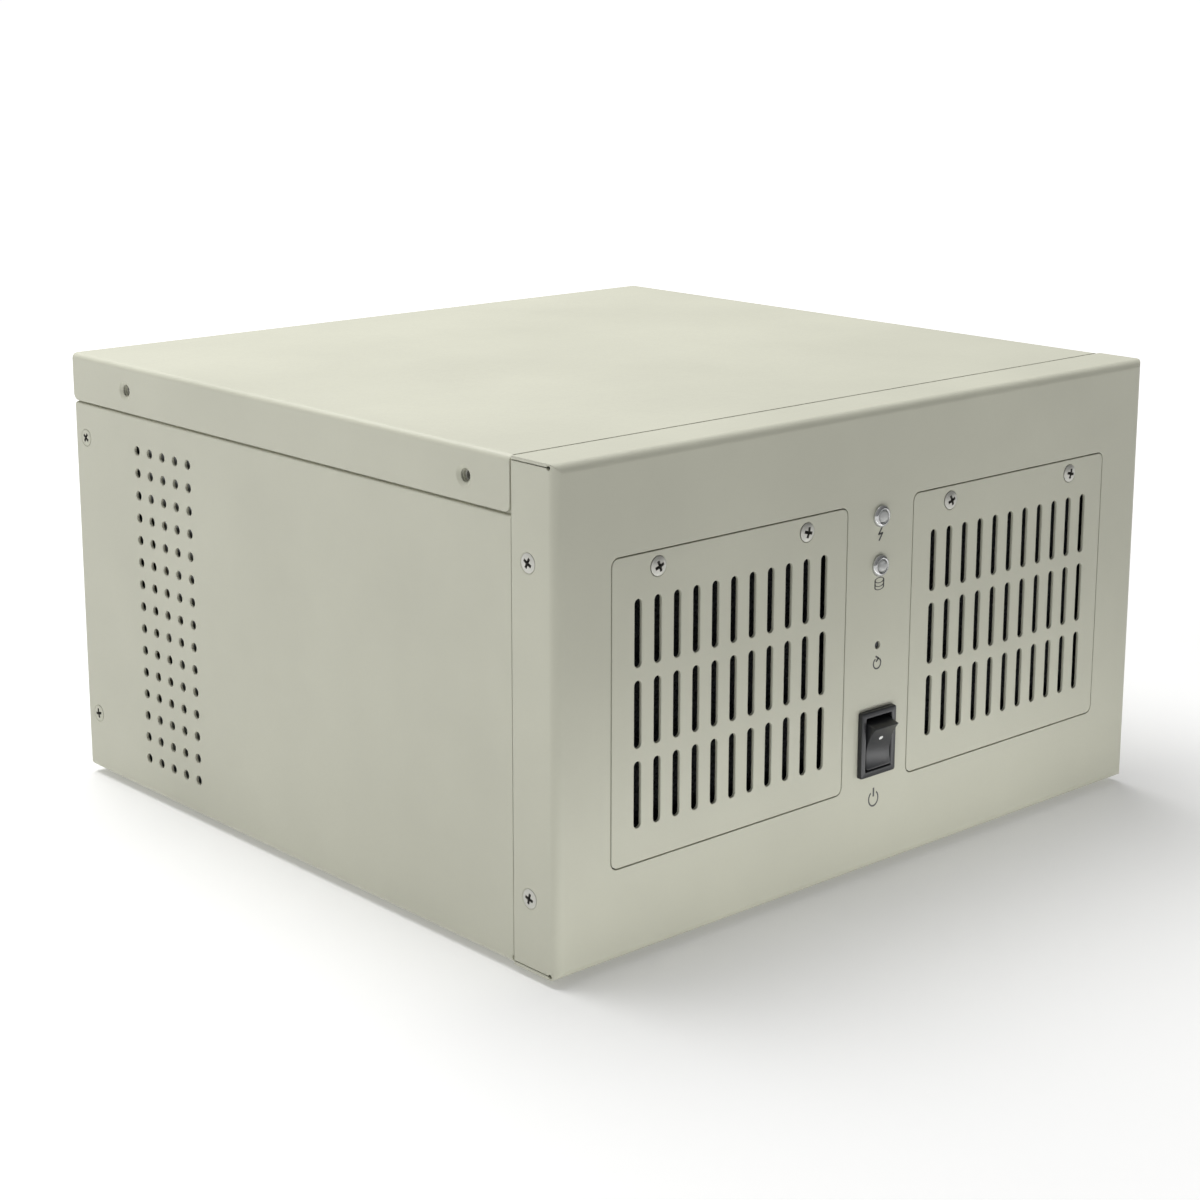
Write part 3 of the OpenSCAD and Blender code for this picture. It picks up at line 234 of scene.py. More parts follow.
def mixColour(tree, mask, first, second, blend="MIX"):
    node = addNode(tree, "ShaderNodeMix", data_type="RGBA", blend_type=blend)
    for place, value in ((0, mask), (6, first), (7, second)):
        if isinstance(value, (int, float)):
            node.inputs[place].default_value = value
        elif isinstance(value, (tuple, list)):
            node.inputs[place].default_value = (*value, 1)
        else:
            link(tree, value, node.inputs[place])
    return node.outputs[2]


def tinted(colour, factor, more=0.0):
    return tuple(min(1.0, c * factor + more) for c in colour)


def noiseOf(tree, scale, detail=3.0, stretch=None, roughness=0.5):
    place = addNode(tree, "ShaderNodeTexCoord")
    source = place.outputs["Object"]
    if stretch:
        mapping = addNode(tree, "ShaderNodeMapping")
        mapping.inputs["Scale"].default_value = stretch
        link(tree, source, mapping.inputs["Vector"])
        source = mapping.outputs["Vector"]
    noise = addNode(tree, "ShaderNodeTexNoise")
    noise.inputs["Detail"].default_value = detail
    noise.inputs["Roughness"].default_value = roughness
    if isinstance(scale, (int, float)):
        noise.inputs["Scale"].default_value = scale
    else:
        link(tree, scale, noise.inputs["Scale"])
    link(tree, source, noise.inputs["Vector"])
    return noise.outputs["Fac"]


# shared effects

def makeEdgeGroup():
    # rounds a sharp edge and marks where it is
    group, given, out = newGroup(
        "edgeWear",
        [("Radius", "NodeSocketFloat", 0.0005), ("Patchiness", "NodeSocketFloat", 0.4)],
        [("Mask", "NodeSocketFloat"), ("Normal", "NodeSocketVector")])
    bevel = addNode(group, "ShaderNodeBevel", samples=6)
    link(group, given.outputs["Radius"], bevel.inputs["Radius"])
    geometry = addNode(group, "ShaderNodeNewGeometry")
    dot = addNode(group, "ShaderNodeVectorMath", operation="DOT_PRODUCT")
    link(group, bevel.outputs["Normal"], dot.inputs[0])
    link(group, geometry.outputs["Normal"], dot.inputs[1])
    bent = makeRange(group, dot.outputs["Value"], 0.995, 0.88)
    patches = noiseOf(group, 160.0, 4.0)
    worn = makeRange(group, patches, given.outputs["Patchiness"], 0.75)
    link(group, product(group, bent, worn), out.inputs["Mask"])
    link(group, bevel.outputs["Normal"], out.inputs["Normal"])
    return group


def makeGrainGroup():
    # the fine skin of a cured powder coat or of moulded plastic
    group, given, out = newGroup(
        "surfaceGrain",
        [("Scale", "NodeSocketFloat", 900.0), ("Speckle", "NodeSocketFloat", 0.5)],
        [("Height", "NodeSocketFloat"), ("Tone", "NodeSocketFloat")])
    waves = noiseOf(group, given.outputs["Scale"], 2.0)
    double = product(group, given.outputs["Scale"], 2.6)
    fine = noiseOf(group, double, 1.0)
    tone = noiseOf(group, 14.0, 3.0)
    speckled = product(group, fine, given.outputs["Speckle"])
    link(group, makeMath(group, "ADD", waves, speckled), out.inputs["Height"])
    link(group, tone, out.inputs["Tone"])
    return group


def makeDustGroup():
    # dust that settles on what faces up
    group, given, out = newGroup(
        "settledDust",
        [("Amount", "NodeSocketFloat", 0.3)],
        [("Mask", "NodeSocketFloat")])
    geometry = addNode(group, "ShaderNodeNewGeometry")
    parts = addNode(group, "ShaderNodeSeparateXYZ")
    link(group, geometry.outputs["Normal"], parts.inputs["Vector"])
    up = makeRange(group, parts.outputs["Z"], 0.3, 0.95)
    flecks = makeRange(group, noiseOf(group, 420.0, 5.0, roughness=0.7), 0.42, 0.75)
    film = makeRange(group, noiseOf(group, 9.0, 2.0), 0.3, 0.8, 0.35, 1.0)
    mask = product(group, product(group, up, flecks), film)
    link(group, product(group, mask, given.outputs["Amount"]), out.inputs["Mask"])
    return group


def makeScratchGroup():
    # fine lines along one direction, with broken lengths
    group, given, out = newGroup(
        "fineLines",
        [("Density", "NodeSocketFloat", 0.5)],
        [("Lines", "NodeSocketFloat"), ("Height", "NodeSocketFloat")])
    long = noiseOf(group, 1.0, 4.0, stretch=(40.0, 40.0, 3600.0), roughness=0.6)
    across = noiseOf(group, 1.0, 3.0, stretch=(2800.0, 30.0, 60.0))
    both = makeMath(group, "ADD", product(group, long, 0.6),
                    product(group, across, 0.4))
    low = makeMath(group, "SUBTRACT", 0.75, product(group, given.outputs["Density"], 0.3))
    link(group, makeRange(group, both, low, 0.85), out.inputs["Lines"])
    link(group, both, out.inputs["Height"])
    return group


edgeGroup = makeEdgeGroup()
grainGroup = makeGrainGroup()
dustGroup = makeDustGroup()
scratchGroup = makeScratchGroup()


def placeGroup(tree, group, **values):
    node = addNode(tree, "ShaderNodeGroup", node_tree=group)
    for name, value in values.items():
        node.inputs[name].default_value = value
    return node


# materials

def startMaterial(name, metallic=0.0, specular=0.5, coat=0.0, coatRoughness=0.1):
    material = bpy.data.materials.new(name)
    material.use_nodes = True
    tree = material.node_tree
    shader = tree.nodes["Principled BSDF"]
    shader.inputs["Metallic"].default_value = metallic
    shader.inputs["Specular IOR Level"].default_value = specular
    shader.inputs["Coat Weight"].default_value = coat
    shader.inputs["Coat Roughness"].default_value = coatRoughness
    return material, tree, shader


def setBump(tree, shader, height, strength, distance, normal=None):
    bump = addNode(tree, "ShaderNodeBump")
    bump.inputs["Strength"].default_value = strength
    bump.inputs["Distance"].default_value = distance
    link(tree, height, bump.inputs["Height"])
    if normal is not None:
        link(tree, normal, bump.inputs["Normal"])
    link(tree, bump.outputs["Normal"], shader.inputs["Normal"])


def paintMaterial(name, colour, dust=0.25):
    # cured powder coat over sheet steel
    material, tree, shader = startMaterial(name, specular=0.42)
    edge = placeGroup(tree, edgeGroup, Radius=0.0006, Patchiness=0.52)
    grain = placeGroup(tree, grainGroup, Scale=1050.0, Speckle=0.6)
    settled = placeGroup(tree, dustGroup, Amount=dust)
    light = tinted(colour, 1.035)
    dark = tinted(colour, 0.955)
    toned = mixColour(tree, makeRange(tree, grain.outputs["Tone"], 0.3, 0.7), dark, light)
    specks = makeRange(tree, grain.outputs["Height"], 0.55, 1.05)
    toned = mixColour(tree, product(tree, specks, 0.16), toned, dark)
    rubbed = mixColour(tree, product(tree, edge.outputs["Mask"], 0.35), toned,
                       tinted(colour, 1.2))
    dusty = mixColour(tree, settled.outputs["Mask"], rubbed, (0.5, 0.48, 0.43))
    link(tree, dusty, shader.inputs["Base Color"])
    rough = makeRange(tree, grain.outputs["Height"], 0.4, 1.1, 0.4, 0.54)
    link(tree, makeMath(tree, "ADD", rough, product(tree, settled.outputs["Mask"], 0.3)),
         shader.inputs["Roughness"])
    setBump(tree, shader, grain.outputs["Height"], 0.22, 0.00012, edge.outputs["Normal"])
    return material


def metalMaterial(name, colour, roughness, lines=0.5, strength=0.12, dust=0.1, metallic=1.0):
    material, tree, shader = startMaterial(name, metallic=metallic)
    edge = placeGroup(tree, edgeGroup, Radius=0.0003, Patchiness=0.4)
    brushed = placeGroup(tree, scratchGroup, Density=lines)
    settled = placeGroup(tree, dustGroup, Amount=dust)
    dark = tinted(colour, 0.82)
    toned = mixColour(tree, makeRange(tree, noiseOf(tree, 30.0, 4.0), 0.3, 0.72), dark, colour)
    lined = mixColour(tree, product(tree, brushed.outputs["Lines"], 0.5), toned,
                      tinted(colour, 1.15))
    dusty = mixColour(tree, settled.outputs["Mask"], lined, (0.4, 0.38, 0.35))
    link(tree, dusty, shader.inputs["Base Color"])
    rough = makeRange(tree, brushed.outputs["Height"], 0.3, 0.7, roughness * 0.75, roughness * 1.35)
    link(tree, makeMath(tree, "ADD", rough, product(tree, settled.outputs["Mask"], 0.5), True),
         shader.inputs["Roughness"])
    setBump(tree, shader, brushed.outputs["Height"], strength, 0.00006, edge.outputs["Normal"])
    return material


def spangleMaterial(name, colour):
    # galvanised sheet, with its frost-like crystals
    material, tree, shader = startMaterial(name, metallic=1.0)
    edge = placeGroup(tree, edgeGroup, Radius=0.0004, Patchiness=0.4)
    place = addNode(tree, "ShaderNodeTexCoord")
    crystals = addNode(tree, "ShaderNodeTexVoronoi")
    crystals.inputs["Scale"].default_value = 150.0
    link(tree, place.outputs["Object"], crystals.inputs["Vector"])
    shade = addNode(tree, "ShaderNodeSeparateColor")
    link(tree, crystals.outputs["Color"], shade.inputs["Color"])
    fade = makeRange(tree, noiseOf(tree, 60.0, 4.0), 0.3, 0.7)
    mask = product(tree, shade.outputs["Red"], fade)
    link(tree, mixColour(tree, mask, tinted(colour, 0.78), colour), shader.inputs["Base Color"])
    link(tree, makeRange(tree, shade.outputs["Green"], 0.0, 1.0, 0.3, 0.52), shader.inputs["Roughness"])
    setBump(tree, shader, noiseOf(tree, 500.0, 3.0), 0.1, 0.0001, edge.outputs["Normal"])
    return material


def plasticMaterial(name, colour, roughness, scale=1600.0, strength=0.2, dust=0.2):
    material, tree, shader = startMaterial(name)
    edge = placeGroup(tree, edgeGroup, Radius=0.0003, Patchiness=0.45)
    grain = placeGroup(tree, grainGroup, Scale=scale, Speckle=0.7)
    settled = placeGroup(tree, dustGroup, Amount=dust)
    light = tinted(colour, 1.12, 0.004)
    dark = tinted(colour, 0.88)
    toned = mixColour(tree, makeRange(tree, grain.outputs["Tone"], 0.3, 0.7), dark, light)
    rubbed = mixColour(tree, product(tree, edge.outputs["Mask"], 0.5), toned,
                       tinted(colour, 1.3, 0.02))
    dusty = mixColour(tree, settled.outputs["Mask"], rubbed, (0.36, 0.34, 0.31))
    link(tree, dusty, shader.inputs["Base Color"])
    link(tree, makeRange(tree, grain.outputs["Height"], 0.4, 1.1, roughness * 0.88, roughness * 1.15),
         shader.inputs["Roughness"])
    setBump(tree, shader, grain.outputs["Height"], strength, 0.0001, edge.outputs["Normal"])
    return material


def foamMaterial(name, colour):
    # open cells about a millimetre across
    material, tree, shader = startMaterial(name, specular=0.15)
    place = addNode(tree, "ShaderNodeTexCoord")
    cells = addNode(tree, "ShaderNodeTexVoronoi", feature="SMOOTH_F1")
    cells.inputs["Scale"].default_value = 900.0
    link(tree, place.outputs["Object"], cells.inputs["Vector"])
    walls = makeRange(tree, cells.outputs["Distance"], 0.1, 0.55)
    # the hollows of the cells are painted far darker than the walls between them: painted shade inside the
    # open cells
    link(tree, mixColour(tree, walls, tinted(colour, 0.25), tinted(colour, 1.5)),
         shader.inputs["Base Color"])
    link(tree, makeRange(tree, walls, 0.0, 1.0, 0.95, 0.8), shader.inputs["Roughness"])
    setBump(tree, shader, walls, 0.8, 0.0006)
    return material


def lensMaterial(name):
    material, tree, shader = startMaterial(name)
    shader.inputs["Transmission Weight"].default_value = 0.4
    shader.inputs["IOR"].default_value = 1.49
    haze = noiseOf(tree, 700.0, 2.0)
    link(tree, mixColour(tree, makeRange(tree, haze, 0.3, 0.7), (0.8, 0.81, 0.79), (0.88, 0.885, 0.87)),
         shader.inputs["Base Color"])
    link(tree, makeRange(tree, haze, 0.3, 0.7, 0.03, 0.1), shader.inputs["Roughness"])
    setBump(tree, shader, haze, 0.05, 0.00005)
    return material


def boardMaterial(name, mask, copper):
    # solder mask over etched tracks, with plated holes
    material, tree, shader = startMaterial(name, specular=0.55, coat=0.25, coatRoughness=0.2)
    place = addNode(tree, "ShaderNodeTexCoord")
    tracks = []
    for turn, scale in ((0.0, 190.0), (math.pi / 2, 150.0)):
        mapping = addNode(tree, "ShaderNodeMapping")
        mapping.inputs["Rotation"].default_value = (0.0, 0.0, turn)
        mapping.inputs["Scale"].default_value = (scale, scale * 6.5, scale)
        link(tree, place.outputs["Object"], mapping.inputs["Vector"])
        cells = addNode(tree, "ShaderNodeTexBrick")
        cells.inputs["Scale"].default_value = 1.0
        cells.inputs["Mortar Size"].default_value = 0.06
        cells.inputs["Mortar Smooth"].default_value = 0.1
        link(tree, mapping.outputs["Vector"], cells.inputs["Vector"])
        tracks.append(cells.outputs["Fac"])
    area = makeRange(tree, noiseOf(tree, 34.0, 2.0), 0.49, 0.51)
    etched = addNode(tree, "ShaderNodeMix", data_type="FLOAT")
    link(tree, area, etched.inputs[0])
    link(tree, tracks[0], etched.inputs[2])
    link(tree, tracks[1], etched.inputs[3])
    holes = addNode(tree, "ShaderNodeTexVoronoi")
    holes.inputs["Scale"].default_value = 240.0
    link(tree, place.outputs["Object"], holes.inputs["Vector"])
    plated = makeRange(tree, holes.outputs["Distance"], 0.17, 0.13)
    seldom = addNode(tree, "ShaderNodeSeparateColor")
    link(tree, holes.outputs["Color"], seldom.inputs["Color"])
    plated = product(tree, plated, makeRange(tree, seldom.outputs["Red"], 0.55, 0.56))
    light = tinted(mask, 1.7, 0.01)
    coloured = mixColour(tree, etched.outputs[0], light, mask)
    coloured = mixColour(tree, plated, coloured, copper)
    link(tree, coloured, shader.inputs["Base Color"])
    link(tree, product(tree, plated, 0.9), shader.inputs["Metallic"])
    link(tree, makeRange(tree, noiseOf(tree, 90.0, 3.0), 0.3, 0.7, 0.28, 0.42), shader.inputs["Roughness"])
    setBump(tree, shader, etched.outputs[0], 0.25, 0.00005)
    return material


caseColour = (0.60, 0.60, 0.492)
metals = {
    "nickel": {"colour": (0.66, 0.655, 0.6), "roughness": 0.36, "lines": 0.3, "dust": 0.05, "metallic": 0.45},
    # recess: a dark colour for the floors of the screws' cross recesses, painted shade
    "recess": {"colour": (0.13, 0.125, 0.11), "roughness": 0.7, "dust": 0.0, "metallic": 0.3},
    "chrome": {"colour": (0.64, 0.645, 0.64), "roughness": 0.2, "lines": 0.1, "strength": 0.03, "dust": 0.03,
               "metallic": 0.75},
    "zincSheet": {"colour": (0.66, 0.67, 0.66), "roughness": 0.34, "lines": 0.6},
    "brass": {"colour": (0.78, 0.6, 0.28), "roughness": 0.28, "lines": 0.4},
    "aluminium": {"colour": (0.74, 0.76, 0.78), "roughness": 0.32, "lines": 0.8},
    "gold": {"colour": (0.9, 0.7, 0.32), "roughness": 0.22, "lines": 0.2},
}
plastics = {  # colour, roughness and, where they differ, the scale and strength of the grain and the dust
    "fanPlastic": ((0.02, 0.021, 0.023), 0.42),
    "switchPlastic": ((0.014, 0.015, 0.017), 0.3, 2400.0, 0.1, 0.12),
    "socketPlastic": ((0.018, 0.019, 0.022), 0.5),
    "whitePlastic": ((0.72, 0.7, 0.63), 0.42, 1600.0, 0.2, 0.25),
    "markWhite": ((0.8, 0.8, 0.78), 0.5, 1600.0, 0.2, 0.0),
    "markGrey": ((0.09, 0.09, 0.085), 0.55, 1600.0, 0.05, 0.0),
    "rubber": ((0.022, 0.022, 0.022), 0.72, 1200.0, 0.35),
    "capSleeve": ((0.03, 0.05, 0.12), 0.3),
    "chipPlastic": ((0.016, 0.017, 0.018), 0.55, 3000.0, 0.15),
    "ceramic": ((0.42, 0.29, 0.17), 0.5, 2600.0, 0.1),
    "jackGreen": ((0.12, 0.42, 0.1), 0.4),
    "jackBlue": ((0.08, 0.22, 0.55), 0.4),
    "jackPink": ((0.62, 0.2, 0.28), 0.4),
    "blackJacket": ((0.02, 0.02, 0.022), 0.5),
    "redJacket": ((0.42, 0.03, 0.025), 0.4),
    "yellowJacket": ((0.62, 0.46, 0.04), 0.42),
    "orangeJacket": ((0.62, 0.18, 0.03), 0.42),
    "greyJacket": ((0.06, 0.065, 0.07), 0.5),
}
materials = {
    "casePaint": paintMaterial("casePaint", caseColour),
    "innerPaint": paintMaterial("innerPaint", tinted(caseColour, 0.94), dust=0.4),
    "supplySheet": spangleMaterial("supplySheet", (0.62, 0.63, 0.64)),
    "foam": foamMaterial("foam", (0.016, 0.017, 0.018)),
    "lens": lensMaterial("lens"),
    "circuitBoard": boardMaterial("circuitBoard", (0.012, 0.075, 0.035), (0.62, 0.48, 0.22)),
    "supplyBoard": boardMaterial("supplyBoard", (0.25, 0.15, 0.06), (0.6, 0.55, 0.45)),
}
materials.update({name: metalMaterial(name, **given) for name, given in metals.items()})
materials.update({name: plasticMaterial(name, *given) for name, given in plastics.items()})
slotLooks = {
    "case_paint": "casePaint", "inner_steel": "zincSheet", "nickel": "nickel",
    "black_plastic": "fanPlastic", "switch_plastic": "switchPlastic", "rubber": "rubber", "foam": "foam",
    "lens": "lens", "circuit_board": "circuitBoard", "brass": "brass", "aluminium": "aluminium",
    "white_plastic": "whitePlastic", "supply_steel": "supplySheet", "supply_board": "supplyBoard",
    "capacitor": "capSleeve", "black_cable": "blackJacket", "red_cable": "redJacket",
    "grey_cable": "greyJacket",
}
nodeLooks = {
    "front_plate": "innerPaint", "rear_panel": "casePaint", "card_sockets": "socketPlastic",
    "memory_sockets": "socketPlastic", "light_holders": "chrome",
}
for part in record["subparts"]:
    look = nodeLooks.get(part["node"], slotLooks[part["material_slot"]])
    shown = nodes[part["node"]]
    shown.data.materials.clear()
    shown.data.materials.append(materials[look])
print("stage: materials on every node")


# making pieces: they are drawn in millimetres and scaled as they are finished


def solidsOf(node):
    # the boxes of the separate solids in a CAD node, in millimetres
    bm = bmesh.new()
    bm.from_mesh(nodes[node].data)
    bmesh.ops.remove_doubles(bm, verts=bm.verts[:], dist=1e-6)
    left, found = set(bm.verts), []
    while left:
        island = [left.pop()]
        for vert in island:
            for edge in vert.link_edges:
                other = edge.other_vert(vert)
                if other in left:
                    left.discard(other)
                    island.append(other)
        found.append([Vector([pick(vert.co[axis] for vert in island) / mm for axis in range(3)])
                      for pick in (min, max)])
    bm.free()
    return sorted(found, key=lambda corners: tuple(corners[0]))


def boxOf(node):
    return [Vector(corner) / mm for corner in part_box(node)]


def middleOf(corners):
    return (corners[0] + corners[1]) / 2


def shift(x, y, z):
    return Matrix.Translation((x, y, z))


def turned(angle, axis):
    return Matrix.Rotation(angle, 4, axis)


def facing(direction, place, turn=0.0):
    # a drawing's +Z looks along the direction, and its +Y stays as upright as it can
    quat = Vector(direction).to_track_quat("Z", "Y")
    return Matrix.Translation(place) @ quat.to_matrix().to_4x4() @ turned(math.radians(turn), "Z")


def drawn(build, *values):
    # a shape made once, to be stamped as often as it is needed
    bm = bmesh.new()
    build(bm, *values)
    bmesh.ops.remove_doubles(bm, verts=bm.verts[:], dist=1e-4)
    bmesh.ops.recalc_face_normals(bm, faces=bm.faces[:])
    mesh = bpy.data.meshes.new("drawn")
    bm.to_mesh(mesh)
    bm.free()
    return mesh


def stamp(bm, mesh, matrix):
    copy = mesh.copy()
    copy.transform(matrix)
    bm.from_mesh(copy)
    bpy.data.meshes.remove(copy)


def put(bm, matrix, build, *values):
    # a shape that is needed in this one place
    stamp(bm, drawn(build, *values), matrix)


def finishPiece(name, bm, look, replaced=(), body="chassis", angle=35):
    looks = look if isinstance(look, tuple) else (look,)
    bmesh.ops.remove_doubles(bm, verts=bm.verts[:], dist=1e-4)
    bmesh.ops.recalc_face_normals(bm, faces=bm.faces[:])
    bmesh.ops.scale(bm, vec=(mm, mm, mm), verts=bm.verts[:])
    mesh = bpy.data.meshes.new(name)
    bm.to_mesh(mesh)
    bm.free()
    mesh.shade_smooth()
    mesh.set_sharp_from_angle(angle=math.radians(angle))
    for each in looks:
        mesh.materials.append(materials[each])
    piece = bpy.data.objects.new(name, mesh)
    scene.collection.objects.link(piece)
    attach(piece, body)
    if replaced:
        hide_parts(*replaced)
    return piece


def vertsOf(grown):
    return [item for item in grown["geom"] if isinstance(item, bmesh.types.BMVert)]


def edgesOf(grown):
    return [item for item in grown["geom"] if isinstance(item, bmesh.types.BMEdge)]


def edgesAt(verts):
    return list({edge for vert in verts for edge in vert.link_edges})


def soften(bm, edges, offset, segments):
    bmesh.ops.bevel(bm, geom=edges, affect="EDGES", offset=offset, segments=segments, profile=0.5,
                    material=-1)


def spun(bm, profile, sides=32):
    # points of (radius, height), turned right round Z
    verts = [bm.verts.new((radius, 0.0, height)) for radius, height in profile]
    edges = [bm.edges.new(pair) for pair in zip(verts, verts[1:])]
    bmesh.ops.spin(bm, geom=verts + edges, cent=(0, 0, 0), axis=(0, 0, 1), dvec=(0, 0, 0),
                   angle=2 * math.pi, steps=sides, use_merge=True)


def block(bm, low, high, soft=0.0, segments=2):
    low, high = Vector(low), Vector(high)
    verts = bmesh.ops.create_cube(bm, size=1.0)["verts"]
    bmesh.ops.scale(bm, vec=high - low, verts=verts)
    bmesh.ops.translate(bm, vec=(low + high) / 2, verts=verts)
    if soft:
        soften(bm, edgesAt(verts), soft, segments)


def rod(bm, radius, low, high, sides=12):
    made = bmesh.ops.create_cone(bm, cap_ends=True, segments=sides, radius1=radius, radius2=radius,
                                 depth=high - low)["verts"]
    bmesh.ops.translate(bm, vec=(0, 0, (low + high) / 2), verts=made)
    return made


def roundSpots(width, height, radius, z, sides):
    # the points of a rectangle with round corners
    spots = []
    for k in range(sides):
        turn = 2 * math.pi * (k + 0.5) / sides
        x, y = radius * math.cos(turn), radius * math.sin(turn)
        spots.append(Vector((x + math.copysign(width / 2 - radius, x),
                             y + math.copysign(height / 2 - radius, y), z)))
    return spots


def loft(bm, loops, capped=True, sides=24):
    # a loop of (width, height, corner, z) is pulled out to the next; an open one ends where it starts
    spots = roundSpots(*loops[0], sides)
    ring = bmesh.ops.create_circle(bm, segments=sides, radius=1.0)["verts"]
    for vert, spot in zip(ring, spots):
        vert.co = spot
    first = edges = edgesAt(ring)
    for loop in loops[1:] + ([] if capped else loops[:1]):
        grown = bmesh.ops.extrude_edge_only(bm, edges=edges)
        edges = edgesOf(grown)
        target = roundSpots(*loop, sides)
        where = {tuple(round(c, 4) for c in spot): place for spot, place in zip(spots, target)}
        for vert in vertsOf(grown):
            vert.co = where[tuple(round(c, 4) for c in vert.co)]
        spots = target
    if capped:
        bmesh.ops.edgeloop_fill(bm, edges=first)
        bmesh.ops.edgeloop_fill(bm, edges=edges)


# screws

screwSet = {"cross": 0.58, "arm": 0.32, "deep": 0.6, "taper": 0.6, "corner": 0.66, "edge": 0.16}
# the second look of a screw is the recess colour, painted shade in its cross recess
steel = ("nickel", "recess")


def crossHead(bm, radius, shank, rise, cone, length, s=screwSet):
    # the rim lies at z = 0, and the recess narrows as it goes down
    bmesh.ops.create_grid(bm, x_segments=7, y_segments=7, size=3.5)
    cross = [face for face in bm.faces if sum(abs(c) for c in face.calc_center_median().xy) < 1.5]
    outer = [edge for edge in bm.edges if edge.is_boundary]
    reach, half = s["cross"] * radius, s["arm"] * radius / 2
    for vert in bm.verts:
        out = [abs(vert.co[axis]) > 1 for axis in (0, 1)]
        ring = max(abs(vert.co.x), abs(vert.co.y))
        if ring > 2:  # two round rings go outside the cross
            place = vert.co.normalized() * (radius if ring > 3 else (radius + reach) / 2)
        else:
            x, y = (math.copysign(reach if out[axis] else half, vert.co[axis]) for axis in (0, 1))
            place = Vector((x, y, 0)) * (s["corner"] if all(out) else 1)
        vert.co = place
    for vert in bm.verts:
        vert.co.z = rise * (1 - (vert.co.xy.length / radius) ** 2.4)
    crossEdges = list({edge for face in cross for edge in face.edges})
    floor = vertsOf(bmesh.ops.extrude_face_region(bm, geom=cross + crossEdges))
    bmesh.ops.scale(bm, vec=(s["taper"], s["taper"], 1), verts=floor)
    bmesh.ops.translate(bm, vec=(0, 0, -s["deep"] * radius), verts=floor)
    # the floor and walls of the recess take the second material, painted shade
    for face in {face for vert in floor for face in vert.link_faces}:
        face.material_index = 1
    for size, drop in ((1.0, s["edge"]), (shank / radius, cone), (1.0, length - cone)):
        grown = bmesh.ops.extrude_edge_only(bm, edges=outer)
        outer = edgesOf(grown)
        bmesh.ops.scale(bm, vec=(size, size, 1), verts=vertsOf(grown))
        bmesh.ops.translate(bm, vec=(0, 0, -drop), verts=vertsOf(grown))
    bmesh.ops.edgeloop_fill(bm, edges=outer)


def hexHead(bm, across, washer, tall):
    # a flanged hexagon that stands on z = 0, with a cross recess in its top
    spun(bm, [(0, 0), (washer, 0), (washer, 0.35), (washer - 0.3, 0.6), (0, 0.6)], 32)
    made = rod(bm, across, 0.4, tall + 0.4, 6)
    soften(bm, edgesAt([vert for vert in made if vert.co.z > tall / 2]), 0.22, 2)
    put(bm, shift(0, 0, tall + 0.45), crossHead, across * 0.72, across * 0.4, 0.25, 0.4, 0.6)


doorHead = drawn(crossHead, 3.75, 1.5, 0.75, 1.9, 7.5)
sunkHead = drawn(crossHead, 3.7, 1.9, 0.35, 1.1, 3.6)
panHead = drawn(crossHead, 3.0, 1.5, 1.5, 0.05, 1.0)
hexShape = drawn(hexHead, 3.3, 4.0, 1.9)
turns = random.Random(7)

for side in ("left", "right"):
    face = boxOf(side + "_door")[0].y
    bm = bmesh.new()
    for corners, turn in zip(solidsOf(side + "_door_screws"), (22, -14)):
        middle = middleOf(corners)
        stamp(bm, doorHead, facing((0, -1, 0), (middle.x, face - 0.1, middle.z), turn))
    finishPiece(side + "DoorScrews", bm, steel, [side + "_door_screws"], side + "_door")

bezelBm, rearBm = bmesh.new(), bmesh.new()
for corners in solidsOf("case_screws"):
    middle = middleOf(corners)
    outward = math.copysign(1, middle.x)
    edge = corners[1].x if outward > 0 else corners[0].x
    spot = facing((outward, 0, 0), (edge, middle.y, middle.z), turns.uniform(-40, 40))
    stamp(bezelBm if middle.y < 0 else rearBm, sunkHead, spot)
finishPiece("bezelScrews", bezelBm, steel, ["case_screws"])
# their cross recesses also take the recess colour, painted shade
finishPiece("rearScrews", rearBm, ("casePaint", "recess"), ["case_screws"])

bm = bmesh.new()
for corners in solidsOf("board_screws"):
    middle = middleOf(corners)
    stamp(bm, panHead, shift(middle.x, middle.y, corners[1].z - 1.5) @ turned(turns.uniform(0, 1.5), "Z"))
finishPiece("boardScrewHeads", bm, steel, ["board_screws"])

bm = bmesh.new()
for corners in solidsOf("fan_screws"):
    middle = middleOf(corners)
    stamp(bm, panHead, facing((0, -1, 0), (middle.x, corners[0].y + 1.5, middle.z), turns.uniform(0, 90)))
finishPiece("fanScrewHeads", bm, steel, ["fan_screws"])

bm = bmesh.new()
for corners in solidsOf("hex_screws"):
    middle, size = middleOf(corners), corners[1] - corners[0]
    if min(size.x, size.y) > 7.9:  # it stands upright on its 8 mm flange
        stamp(bm, hexShape, shift(middle.x, middle.y, corners[1].z - 2.4) @ turned(turns.uniform(0, 1), "Z"))
    else:
        stamp(bm, hexShape, facing((0, 1, 0), (middle.x, corners[1].y - 2.4, middle.z), turns.uniform(0, 60)))
finishPiece("hexScrewHeads", bm, steel, ["hex_screws"])
print("stage: screws")


# lights, reset hole and their marks

lampSet = {
    "holder": [(2.62, -6), (2.62, 0.9), (2.7, 1.3), (2.95, 1.62), (3.3, 1.72), (3.75, 1.55), (4.2, 1.15),
               (4.46, 0.75), (4.5, 0.5), (4.5, 0.0), (3.8, 0.0), (3.8, -9.0), (2.62, -9.0), (2.62, -6)],
    "lens": [(0, 3.05), (0.7, 2.95), (1.35, 2.65), (1.9, 2.15), (2.3, 1.5), (2.5, 0.7), (2.53, 0.0),
             (2.53, -8.4), (0, -8.4)],
    "nut": ((6, 5.7), (24, 3.82)),
    "nutThick": 2.4,
    "sheet": 1.2,
    "cup": [(0, -0.9), (0.9, -0.85), (1.9, 0.35), (2.05, 0.4), (2.05, 0.2), (1.1, -1.4), (0, -1.5)],
}
bezelFace = boxOf("front_bezel")[0].y


